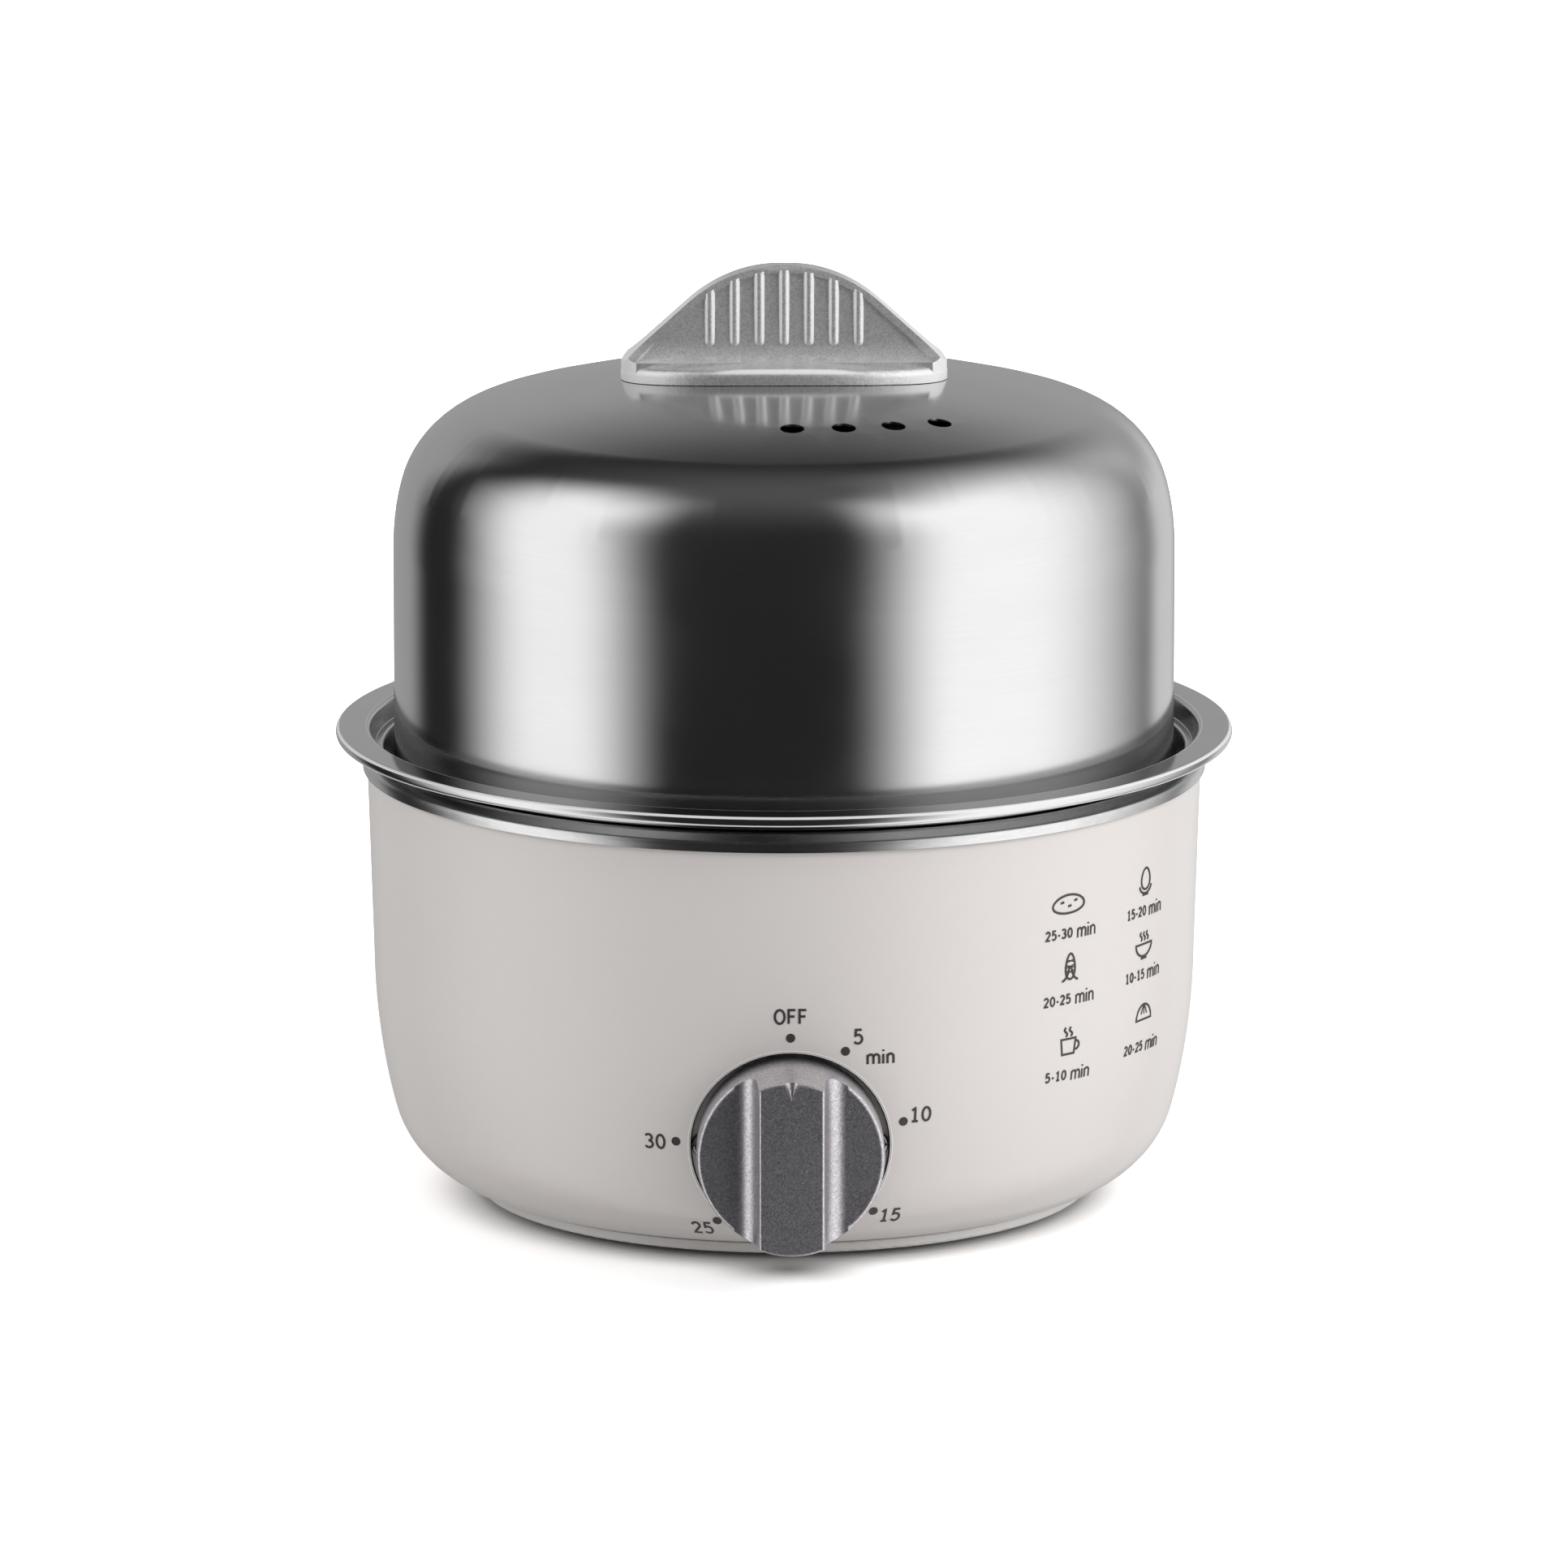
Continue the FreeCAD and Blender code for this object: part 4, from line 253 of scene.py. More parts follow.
def make_world():
    """White studio for the camera, an even fill for the surfaces, and the cards for mirrored light."""
    world = bpy.data.worlds.new("studio")
    bpy.context.scene.world = world
    world.use_nodes = True
    tree = world.node_tree
    tree.nodes.clear()
    direction = add(tree, "ShaderNodeTexCoord").outputs["Generated"]
    part = add(tree, "ShaderNodeSeparateXYZ", {0: direction})
    forwards = math_node(tree, "MULTIPLY", part.outputs["Y"], -1.0)
    turn = math_node(tree, "ARCTAN2", part.outputs["X"], forwards)
    azimuth = math_node(tree, "DEGREES", turn)
    elevation = math_node(tree, "DEGREES", math_node(tree, "ARCSINE", part.outputs["Z"]))
    aside = math_node(tree, "ABSOLUTE", azimuth)
    risen = math_node(tree, "MINIMUM", math_node(tree, "MAXIMUM", elevation, 0.0), LEAN_END)
    lean = math_node(tree, "MULTIPLY_ADD", risen, -CARD_LEAN, 1.0)
    azimuth = math_node(tree, "MULTIPLY", azimuth, lean)
    ceiling = soft_step(tree, elevation, CEILING_START, OVERHEAD)
    total = math_node(tree, "MULTIPLY_ADD", ceiling, DARK_CEILING, DARK_SET)
    back_across = soft_step(tree, aside, BACK_CARD_START - BACK_CARD_SOFT, BACK_CARD_START + BACK_CARD_SOFT)
    back_up = soft_step(tree, elevation, BACK_CARD_TOP + BACK_CARD_TOP_SOFT,
                        BACK_CARD_TOP - BACK_CARD_TOP_SOFT)
    back = math_node(tree, "MULTIPLY", back_across, back_up)
    total = math_node(tree, "MULTIPLY_ADD", back, BACK_CARD_BRIGHTNESS, total)
    for start, end, start_soft, end_soft, top, top_soft, brightness in CARDS.values():
        after_start = soft_step(tree, azimuth, start - start_soft, start + start_soft)
        before_end = soft_step(tree, azimuth, end + end_soft, end - end_soft)
        below_top = soft_step(tree, elevation, top + top_soft, top - top_soft)
        across = math_node(tree, "MULTIPLY", after_start, before_end)
        card = math_node(tree, "MULTIPLY", across, below_top)
        total = math_node(tree, "MULTIPLY_ADD", card, brightness, total)
    path = add(tree, "ShaderNodeLightPath")
    first = math_node(tree, "LESS_THAN", path.outputs["Ray Depth"], FIRST_MIRROR_DEPTH)
    total = math_node(tree, "MULTIPLY", total, math_node(tree, "MAXIMUM", first, SECOND_MIRROR))
    fill = add(tree, "ShaderNodeBackground", {"Color": (1, 1, 1, 1), "Strength": FILL_LIGHT})
    white = add(tree, "ShaderNodeBackground", {"Color": (1, 1, 1, 1), "Strength": 1.0})
    cards = add(tree, "ShaderNodeBackground", {"Color": (1, 1, 1, 1), "Strength": total})
    seen = math_node(tree, "MAXIMUM", path.outputs["Is Camera Ray"], path.outputs["Is Transmission Ray"])
    mirrored = add(tree, "ShaderNodeMixShader",
                   {0: path.outputs["Is Glossy Ray"], 1: fill.outputs[0], 2: cards.outputs[0]})
    whole = add(tree, "ShaderNodeMixShader", {0: seen, 1: mirrored.outputs[0], 2: white.outputs[0]})
    add(tree, "ShaderNodeOutputWorld", {"Surface": whole.outputs[0]})


def make_lamp(name, azimuth, elevation, distance, size, brightness):
    """Square soft lamp that gives a facing white surface the stated brightness."""
    data = bpy.data.lights.new(name, "AREA")
    data.shape = "SQUARE"
    data.size = size
    data.energy = brightness * math.pi ** 2 * distance ** 2
    away = outwards(azimuth, elevation)
    lamp = bpy.data.objects.new(name, data)
    lamp.location = CAMERA_TARGET + away * distance
    lamp.rotation_euler = (-away).to_track_quat("-Z", "Y").to_euler()
    lamp.visible_glossy = False
    lamp.visible_camera = False
    bpy.context.scene.collection.objects.link(lamp)


def make_floor():
    """Pale floor that shows as white, with the object's soft shadow on it, deepened by a painted shadow
    under the base and the dial's foot.
    """
    mesh = bpy.data.meshes.new("floor")
    corners = [(x * FLOOR_HALF, y * FLOOR_HALF, 0) for x, y in ((-1, -1), (1, -1), (1, 1), (-1, 1))]
    mesh.from_pydata(corners, [], [(0, 1, 2, 3)])
    floor = bpy.data.objects.new("floor", mesh)
    bpy.context.scene.collection.objects.link(floor)
    floor.visible_glossy = False
    material = bpy.data.materials.new("floor_paper")
    material.use_nodes = True
    tree = material.node_tree
    tree.nodes.clear()
    place = add(tree, "ShaderNodeTexCoord").outputs["Object"]
    away = add(tree, "ShaderNodeVectorMath", {0: place}, operation="LENGTH").outputs["Value"]
    lift = soft_step(tree, away, WHITE_START, WHITE_END)
    fibres = noise(tree, place, FIBRES_PER_METRE)
    paper_tone = math_node(tree, "MULTIPLY_ADD", fibres, FIBRE_TONE, PAPER_TONE)
    # Painted shadow: for camera rays the floor is darkened near the base and under the dial's foot.
    under_base = soft_step(tree, away, *PAINTED_SHADOW_BASE)
    from_dial = vector_node(tree, "ADD", place, (0, -DIAL_FOOT_Y, 0))
    shaped = vector_node(tree, "MULTIPLY", from_dial, DIAL_SHADE_SHAPE)
    dial_reach = add(tree, "ShaderNodeVectorMath", {0: shaped}, operation="LENGTH").outputs["Value"]
    under_dial = soft_step(tree, dial_reach, *PAINTED_SHADOW_DIAL)
    clear = math_node(tree, "MULTIPLY", under_base, under_dial)
    seen_tone = math_node(tree, "MULTIPLY_ADD", clear, CLEAR_TONE, SHADE_TONE)
    path = add(tree, "ShaderNodeLightPath")
    glow = add(tree, "ShaderNodeEmission", {"Color": (1, 1, 1, 1), "Strength": lift})
    seen_paper = add(tree, "ShaderNodeBsdfDiffuse", {"Color": seen_tone})
    seen = add(tree, "ShaderNodeAddShader", {0: glow.outputs[0], 1: seen_paper.outputs[0]})
    paper = add(tree, "ShaderNodeBsdfDiffuse", {"Color": paper_tone})
    both = add(tree, "ShaderNodeMixShader",
               {0: path.outputs["Is Camera Ray"], 1: paper.outputs[0], 2: seen.outputs[0]})
    add(tree, "ShaderNodeOutputMaterial", {"Surface": both.outputs[0]})
    mesh.materials.append(material)


# Effects that several finishes share

def new_effect(name, inputs, outputs):
    """Empty node group with named value inputs and outputs."""
    tree = bpy.data.node_groups.new(name, "ShaderNodeTree")
    for label, value in inputs.items():
        socket = tree.interface.new_socket(name=label, in_out="INPUT", socket_type="NodeSocketFloat")
        socket.default_value = value
    for label in outputs:
        tree.interface.new_socket(name=label, in_out="OUTPUT", socket_type="NodeSocketFloat")
    return tree, tree.nodes.new("NodeGroupInput"), tree.nodes.new("NodeGroupOutput")


def noise(tree, place, per_metre, detail=3.0, roughness=0.5):
    """Value of a noise texture with that many features in a unit of the place, mostly a metre."""
    inputs = {"Vector": place, "Scale": per_metre, "Detail": detail, "Roughness": roughness}
    return add(tree, "ShaderNodeTexNoise", inputs).outputs[0]


def make_moulded_grain():
    """Fine pits and slow waves of a moulded surface."""
    tree, given, result = new_effect("moulded_grain", {"Grains per metre": 2500.0, "Waves per metre": 60.0},
                                     ["Height", "Tone"])
    place = add(tree, "ShaderNodeTexCoord").outputs["Object"]
    grain = noise(tree, place, given.outputs["Grains per metre"], detail=4.0, roughness=0.6)
    waves = noise(tree, place, given.outputs["Waves per metre"], detail=2.0)
    height = math_node(tree, "MULTIPLY_ADD", waves, WAVE_SHARE, grain)
    tree.links.new(height, result.inputs["Height"])
    tree.links.new(waves, result.inputs["Tone"])
    return tree


def make_sheet_polish():
    """Fine lines that a polishing wheel leaves round a turned sheet."""
    tree, given, result = new_effect("sheet_polish", {"Lines per metre": 2600.0, "Breaks per turn": 5.0},
                                     ["Height", "Tone"])
    place = add(tree, "ShaderNodeTexCoord").outputs["Object"]
    part = add(tree, "ShaderNodeSeparateXYZ", {0: place})
    flat = add(tree, "ShaderNodeCombineXYZ", {"X": part.outputs["X"], "Y": part.outputs["Y"]}).outputs[0]
    radius = add(tree, "ShaderNodeVectorMath", {0: flat}, operation="LENGTH").outputs["Value"]
    turn = math_node(tree, "ARCTAN2", part.outputs["X"], part.outputs["Y"])
    round_turn = math_node(tree, "MULTIPLY", turn, given.outputs["Breaks per turn"])
    out = math_node(tree, "MULTIPLY", radius, given.outputs["Lines per metre"])
    up = math_node(tree, "MULTIPLY", part.outputs["Z"], given.outputs["Lines per metre"])
    lines_place = add(tree, "ShaderNodeCombineXYZ", {"X": round_turn, "Y": out, "Z": up}).outputs[0]
    lines = noise(tree, lines_place, 1.0, roughness=0.55)
    broad = noise(tree, vector_node(tree, "MULTIPLY", lines_place, BROAD_LINES), 1.0, detail=2.0)
    height = math_node(tree, "MULTIPLY_ADD", broad, BROAD_SHARE, lines)
    line_tone = math_node(tree, "MULTIPLY", lines, 1.0 - BROAD_SHARE)
    tone = math_node(tree, "MULTIPLY_ADD", broad, BROAD_SHARE, line_tone)
    tree.links.new(height, result.inputs["Height"])
    tree.links.new(tone, result.inputs["Tone"])
    return tree


def make_handling_marks():
    """Faint smears and clean spots, from 0 where the surface is clean to 1 where it has been touched."""
    tree, given, result = new_effect("handling_marks", {"Marks per metre": 30.0}, ["Mark"])
    place = add(tree, "ShaderNodeTexCoord").outputs["Object"]
    broad = noise(tree, place, given.outputs["Marks per metre"], detail=2.5)
    tree.links.new(soft_step(tree, broad, MARK_START, MARK_END), result.inputs["Mark"])
    return tree


def make_metal_flake():
    """Flakes in a metallic paint: a random tone and tilt for each flake."""
    tree, given, result = new_effect("metal_flake", {"Flakes per metre": 3200.0, "Spread": 0.5},
                                     ["Height", "Tone"])
    place = add(tree, "ShaderNodeTexCoord").outputs["Object"]
    cells = add(tree, "ShaderNodeTexVoronoi",
                {"Vector": place, "Scale": given.outputs["Flakes per metre"], "Randomness": 1.0})
    tone = add(tree, "ShaderNodeSeparateColor", {0: cells.outputs["Color"]}).outputs["Red"]
    grains = math_node(tree, "MULTIPLY", given.outputs["Flakes per metre"], GRAIN_PER_FLAKE)
    grain = noise(tree, place, grains, roughness=0.6)
    around_zero = math_node(tree, "SUBTRACT", tone, 0.5)
    spread = math_node(tree, "MULTIPLY_ADD", around_zero, given.outputs["Spread"], grain)
    height = math_node(tree, "MULTIPLY_ADD", tone, FLAKE_SHARE, grain)
    tree.links.new(height, result.inputs["Height"])
    tree.links.new(spread, result.inputs["Tone"])
    return tree


EFFECTS = {
    "moulded_grain": make_moulded_grain(),
    "sheet_polish": make_sheet_polish(),
    "handling_marks": make_handling_marks(),
    "metal_flake": make_metal_flake(),
}


def effect(tree, name, values):
    """Places a shared effect in a material, with its own values."""
    placed = tree.nodes.new("ShaderNodeGroup")
    placed.node_tree = EFFECTS[name]
    for label, value in values.items():
        placed.inputs[label].default_value = value
    return placed


# Finishes

def rib_and_foot_highlight(tree):
    """Painted highlight mask: 1 on surfaces that face to the sides and on the foot's raised rim, 0 on the
    handle's faces.
    """
    coordinates = add(tree, "ShaderNodeTexCoord")
    facing = add(tree, "ShaderNodeSeparateXYZ", {0: coordinates.outputs["Normal"]})
    place = add(tree, "ShaderNodeSeparateXYZ", {0: coordinates.outputs["Object"]})
    aside = soft_step(tree, math_node(tree, "ABSOLUTE", facing.outputs["X"]), HIGHLIGHT_START, HIGHLIGHT_END)
    upwards = soft_step(tree, facing.outputs["Z"], HIGHLIGHT_START, HIGHLIGHT_END)
    from_middle = math_node(tree, "ABSOLUTE", place.outputs["Y"])
    on_rim = soft_step(tree, from_middle, FOOT_HIGHLIGHT_START, FOOT_HIGHLIGHT_END)
    return math_node(tree, "MAXIMUM", aside, math_node(tree, "MULTIPLY", upwards, on_rim))


def make_finish(name, dark, light, roughness, bump, pattern, values=None, metallic=0.0, marks=30.0,
                painted_rib_highlight=False):
    """Finish with two tones, a range of roughness, a bump in millimetres, and one shared effect."""
    material = bpy.data.materials.new(name)
    material.use_nodes = True
    tree = material.node_tree
    tree.nodes.clear()
    surface = effect(tree, pattern, values or {})
    touched = effect(tree, "handling_marks", {"Marks per metre": marks})
    colour = add(tree, "ShaderNodeMixRGB", {0: surface.outputs["Tone"], 1: (*dark, 1), 2: (*light, 1)})
    # Painted highlight: surfaces facing aside, and the foot's rim facing up, get the light tone and less
    # metal.
    if painted_rib_highlight:
        rib_highlight = rib_and_foot_highlight(tree)
        colour = add(tree, "ShaderNodeMixRGB", {0: rib_highlight, 1: colour.outputs[0], 2: (*light, 1)})
        metallic = math_node(tree, "MULTIPLY_ADD", rib_highlight, HIGHLIGHT_METALLIC - metallic, metallic)
    smooth, dull = roughness
    rough = add(tree, "ShaderNodeMapRange",
                {"Value": touched.outputs["Mark"], "To Min": smooth, "To Max": dull}).outputs[0]
    normal = add(tree, "ShaderNodeBump",
                 {"Strength": 1.0, "Distance": bump * MM, "Height": surface.outputs["Height"]}).outputs[0]
    shader = add(tree, "ShaderNodeBsdfPrincipled",
                 {"Base Color": colour.outputs[0], "Roughness": rough, "Normal": normal,
                  "Metallic": metallic})
    add(tree, "ShaderNodeOutputMaterial", {"Surface": shader.outputs[0]})
    return material


def grey(value, warm=0.0):
    """Nearly grey colour, warmer where warm is above 0."""
    return (value + warm, value, value - warm)


# Each finish's dark and light tone, its least and most roughness, the depth of its bump in millimetres,
# the shared effect with its values, how metallic it is, and the marks of handling in a metre
FINISH_TABLE = {
    "housing_plastic": dict(
        dark=(0.77, 0.729, 0.704), light=(0.782, 0.741, 0.716), roughness=(0.285, 0.31), bump=0.003,
        pattern="moulded_grain", values={"Grains per metre": 1800.0, "Waves per metre": 500.0}),
    "cover_plastic": dict(
        dark=(0.77, 0.75, 0.735), light=(0.81, 0.79, 0.775), roughness=(0.36, 0.5), bump=0.01,
        pattern="moulded_grain", values={"Grains per metre": 1500.0}),
    "knob_plastic": dict(
        dark=(0.5, 0.48, 0.51), light=(0.92, 0.89, 0.93), roughness=(0.33, 0.38), bump=0.02,
        pattern="metal_flake", values={"Flakes per metre": 3600.0, "Spread": 0.7}, metallic=0.92),
    # The handle's ribs and foot carry a painted highlight.
    "handle_plastic": dict(
        dark=(0.72, 0.72, 0.73), light=(0.99, 0.99, 0.99), roughness=(0.285, 0.33), bump=0.016,
        pattern="metal_flake", values={"Flakes per metre": 3000.0, "Spread": 0.8}, metallic=0.62,
        painted_rib_highlight=True),
    "stainless_sheet": dict(
        dark=grey(0.76), light=grey(0.84), roughness=(0.15, 0.2), bump=0.0006, pattern="sheet_polish",
        metallic=1.0),
    "basin_sheet": dict(
        dark=grey(0.62), light=grey(0.98), roughness=(0.2, 0.26), bump=0.012, pattern="sheet_polish",
        values={"Lines per metre": 1500.0, "Breaks per turn": 30.0}, metallic=1.0),
    # Painted highlight: pale, barely metallic lines on the bends of the tray's flange.
    "painted_edge_highlight": dict(
        dark=grey(0.93), light=grey(0.97), roughness=(0.2, 0.25), bump=0.0006, pattern="sheet_polish",
        metallic=0.15),
    # Painted highlight: pale finish of the ring on the pocket's edge.
    "pocket_edge": dict(
        dark=grey(0.95), light=grey(0.97), roughness=(0.285, 0.3), bump=0.003,
        pattern="moulded_grain"),
    "plated_steel": dict(
        dark=grey(0.55), light=grey(0.68, -0.01), roughness=(0.285, 0.4), bump=0.006,
        pattern="moulded_grain", values={"Grains per metre": 1200.0}, metallic=1.0, marks=120.0),
    "cast_alloy": dict(
        dark=grey(0.5), light=grey(0.64), roughness=(0.4, 0.6), bump=0.05, pattern="moulded_grain",
        values={"Grains per metre": 900.0}, metallic=1.0, marks=90.0),
    "element_sheath": dict(
        dark=grey(0.2, 0.01), light=grey(0.32, 0.01), roughness=(0.35, 0.55), bump=0.01,
        pattern="moulded_grain", values={"Grains per metre": 1400.0}, metallic=1.0, marks=90.0),
    "brass": dict(
        dark=(0.70, 0.50, 0.22), light=(0.82, 0.62, 0.32), roughness=(0.285, 0.38), bump=0.004,
        pattern="moulded_grain", values={"Grains per metre": 1400.0}, metallic=1.0, marks=200.0),
    "dark_moulding": dict(
        dark=grey(0.03), light=grey(0.05), roughness=(0.38, 0.55), bump=0.012, pattern="moulded_grain",
        values={"Grains per metre": 1600.0}, marks=80.0),
    "ceramic": dict(
        dark=(0.78, 0.76, 0.70), light=(0.86, 0.84, 0.79), roughness=(0.55, 0.75), bump=0.03,
        pattern="moulded_grain", values={"Grains per metre": 1200.0}, marks=80.0),
    "wire_insulation": dict(
        dark=(0.72, 0.72, 0.69), light=(0.82, 0.82, 0.79), roughness=(0.4, 0.55), bump=0.006,
        pattern="moulded_grain", values={"Grains per metre": 1500.0}, marks=120.0),
    "rubber": dict(
        dark=grey(0.035), light=grey(0.06), roughness=(0.6, 0.8), bump=0.02, pattern="moulded_grain",
        values={"Grains per metre": 1500.0}, marks=100.0),
    "print_ink": dict(
        dark=(0.045, 0.042, 0.04), light=(0.065, 0.06, 0.057), roughness=(0.4, 0.5), bump=0.004,
        pattern="moulded_grain", values={"Grains per metre": 2500.0}),
}
FINISHES = {name: make_finish(name, **looks) for name, looks in FINISH_TABLE.items()}


# Finishes on the CAD nodes and on new pieces

def dress_nodes():
    """Gives every CAD node the finish of its material slot and even shading across its facets."""
    for row in frame["record"]["subparts"]:
        node = frame["nodes"][row["node"]]
        node.data.materials.clear()
        node.data.materials.append(FINISHES[row["material_slot"]])
        node.modifiers.new("weld", "WELD").merge_threshold = WELD_DISTANCE
        node.modifiers.new("creases", "EDGE_SPLIT").split_angle = math.radians(CREASE_DEG)
        evened = node.modifiers.new("even_shading", "WEIGHTED_NORMAL")
        evened.mode = "FACE_AREA_WITH_ANGLE"
        evened.keep_sharp = True


def finished_piece(name, bm, *finishes):
    """New object from a drawn mesh, with its finishes."""
    mesh = bpy.data.meshes.new(name)
    bm.to_mesh(mesh)
    bm.free()
    for finish in finishes:
        mesh.materials.append(FINISHES[finish])
    piece = bpy.data.objects.new(name, mesh)
    bpy.context.scene.collection.objects.link(piece)
    return piece


# Egg tray and water basin, turned anew with an even mesh, and painted highlight lines on the flange's bends

def rounded(points, radii):
    """Points of an open line with its corners rounded."""
    line = [points[0]]
    for before, here, after, radius in zip(points, points[1:], points[2:], radii[1:]):
        back, ahead = (before - here).normalized(), (after - here).normalized()
        half = back.angle(ahead) / 2
        if radius <= 0:
            line.append(here)
            continue
        reach = radius / math.tan(half)
        centre = here + (back + ahead).normalized() * radius / math.sin(half)
        start, end = here + back * reach - centre, here + ahead * reach - centre
        sweep = start.angle_signed(end)
        for i in range(BEND_STEPS + 1):
            turned = start.copy()
            turned.rotate(Matrix.Rotation(-sweep * i / BEND_STEPS, 2))
            line.append(centre + turned)
    line.append(points[-1])
    return line


def sheet_side(line, bends, offset):
    """One side of a bent sheet, to the left of its middle line where offset is above 0."""
    points = [Vector(p) for p in line]
    side, radii = [], []
    for i, here in enumerate(points):
        into = (here - points[i - 1]).normalized() if i else (points[1] - here).normalized()
        out_of = (points[i + 1] - here).normalized() if i < len(points) - 1 else into
        turn = -into.angle_signed(out_of)
        middle = (into + out_of).normalized()
        side.append(here + Vector((-middle.y, middle.x)) * offset / math.cos(turn / 2))
        radii.append(max(bends[i] - math.copysign(1, turn) * offset, 0.0) if bends[i] else 0.0)
    return rounded(side, radii)


def ring(bm, radius, z, steps, x=0.0, y=0.0):
    """Loop of new vertices round a centre, at a height."""
    turns = (2 * math.pi * i / steps for i in range(steps))
    places = ((x + radius * math.cos(turn), y + radius * math.sin(turn), z) for turn in turns)
    return [bm.verts.new([value * MM for value in place]) for place in places]


def bridge(bm, first, second):
    """Faces between two loops."""
    faces = []
    for i in range(len(first)):
        j = (i + 1) % len(first)
        faces.append(bm.faces.new((first[i], first[j], second[j], second[i])))
    return faces


def loop_edges(bm, loop):
    """Edges round a loop, made where there are none."""
    edges = []
    for i, v in enumerate(loop):
        following = loop[(i + 1) % len(loop)]
        edges.append(bm.edges.get((v, following)) or bm.edges.new((v, following)))
    return edges


def tray_holes():
    """Radius and centre of each egg hole and steam hole."""
    circles = [(EGG_HOLE_R, EGG_CIRCLE_R, EGG_START_DEG)]
    circles += [(STEAM_HOLE_R, circle_r, 0) for circle_r in STEAM_CIRCLES]
    holes = [(EGG_HOLE_R, 0.0, 0.0)]
    for i in range(HOLES_PER_CIRCLE):
        for hole_r, circle_r, start in circles:
            turn = math.radians(360 / HOLES_PER_CIRCLE * i + start)
            holes.append((hole_r, circle_r * math.cos(turn), circle_r * math.sin(turn)))
    return holes


def flange_highlight_lines(middle, slope):
    """True where the painted highlight lines go: on the outer bends of the tray's flange, and along the top
    of its inner bend.
    """
    outer = middle.x > OUTER_BENDS_R and OUTER_SLOPES[0] < slope < OUTER_SLOPES[1]
    inner = abs(middle.x - INNER_BEND_R) < INNER_HALF_WIDTH and INNER_SLOPES[0] < slope < INNER_SLOPES[1]
    return outer or inner


def make_turned_sheet(name, node, body, line, bends, finish, holes=(), highlight_test=None):
    """Turned sheet and its flat floor with holes, in place of a CAD node."""
    bm = bmesh.new()
    section = sheet_side(line, bends, SHEET / 2)[::-1] + sheet_side(line, bends, -SHEET / 2)
    loops = [ring(bm, r, z, TURN_STEPS) for r, z in section]
    for i in range(len(section) - 1):
        along = section[i + 1] - section[i]
        middle = (section[i] + section[i + 1]) / 2
        slope = math.degrees(math.atan2(abs(along.x), abs(along.y)))
        for face in bridge(bm, loops[i], loops[i + 1]):
            face.smooth = True
            # Faces that the test picks get the painted highlight finish.
            face.material_index = 1 if highlight_test and highlight_test(middle, slope) else 0
    ends = ((loops[0], section[0].y), (loops[-1], section[-1].y))
    edges = [loop_edges(bm, loop) for loop, _ in ends]
    for hole_r, x, y in holes:
        pair = [ring(bm, hole_r, z, HOLE_STEPS, x, y) for _, z in ends]
        bridge(bm, *pair)
        for rim, loop in zip(edges, pair):
            rim += loop_edges(bm, loop)
    for rim in edges:
        bmesh.ops.triangle_fill(bm, edges=rim, use_beauty=True)
    bmesh.ops.recalc_face_normals(bm, faces=bm.faces)
    piece = finished_piece(name, bm, finish, "painted_edge_highlight")
    piece.modifiers.new("creases", "EDGE_SPLIT").split_angle = math.radians(CREASE_DEG)
    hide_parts(node)
    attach(piece, body)


# Prints on the housing: each is laid out flat in millimetres and wrapped onto the outer surface

def housing_r(z):
    """Radius of the housing's outer surface at a height."""
    straight_z = HOUSING_TOP_Z - HOUSING_STRAIGHT * math.cos(HOUSING_TAPER)
    if z >= straight_z:
        return HOUSING_TOP_R - (HOUSING_TOP_Z - z) * math.tan(HOUSING_TAPER)
    straight_r = HOUSING_TOP_R - HOUSING_STRAIGHT * math.sin(HOUSING_TAPER)
    side_x = straight_r - HOUSING_SIDE_ARC * math.cos(HOUSING_TAPER)
    side_z = straight_z + HOUSING_SIDE_ARC * math.sin(HOUSING_TAPER)
    if z >= side_z - HOUSING_SIDE_ARC * math.sin(HOUSING_SIDE_END):
        return side_x + math.sqrt(HOUSING_SIDE_ARC ** 2 - (side_z - z) ** 2)
    foot_x = side_x + (HOUSING_SIDE_ARC - HOUSING_FOOT_ARC) * math.cos(HOUSING_SIDE_END)
    foot_z = side_z - (HOUSING_SIDE_ARC - HOUSING_FOOT_ARC) * math.sin(HOUSING_SIDE_END)
    return foot_x + math.sqrt(HOUSING_FOOT_ARC ** 2 - (foot_z - z) ** 2)


def on_housing(azimuth, height, across, up, out):
    """Point in metres at a place on the housing's surface, out millimetres above it."""
    z = height + up
    radius = housing_r(z) + out
    angle = math.radians(azimuth) + across / housing_r(height)
    return Vector((radius * math.sin(angle), -radius * math.cos(angle), z)) * MM


def wrapped(bm, azimuth, height):
    """Wraps a flat drawing, with X across, Y up and Z out, onto the housing."""
    for v in bm.verts:
        v.co = on_housing(azimuth, height, v.co.x, v.co.y, v.co.z)


def on_pocket_edge(radius, turn, inwards):
    """Point in metres beside the pocket's edge, inwards millimetres behind the housing's surface."""
    x = radius * math.cos(turn)
    z = POCKET_Z + radius * math.sin(turn)
    return Vector((x, inwards - math.sqrt(housing_r(z) ** 2 - x ** 2), z)) * MM


def make_pocket_band(name, rows, finish):
    """Ring through rows of radius and depth at the edge of the dial's pocket."""
    bm = bmesh.new()
    loops = []
    for radius, inwards in rows:
        turns = (2 * math.pi * i / POCKET_STEPS for i in range(POCKET_STEPS))
        loops.append([bm.verts.new(on_pocket_edge(radius, turn, inwards)) for turn in turns])
    for first, second in zip(loops, loops[1:]):
        for face in bridge(bm, first, second):
            face.smooth = True
    bmesh.ops.recalc_face_normals(bm, faces=bm.faces)
    piece = finished_piece(name, bm, finish)
    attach(piece, "base")


# Letters, figures and drawings of foods, made of strokes

def path(*points):
    """Points of a line that is drawn through them."""
    return [Vector(point) for point in points]


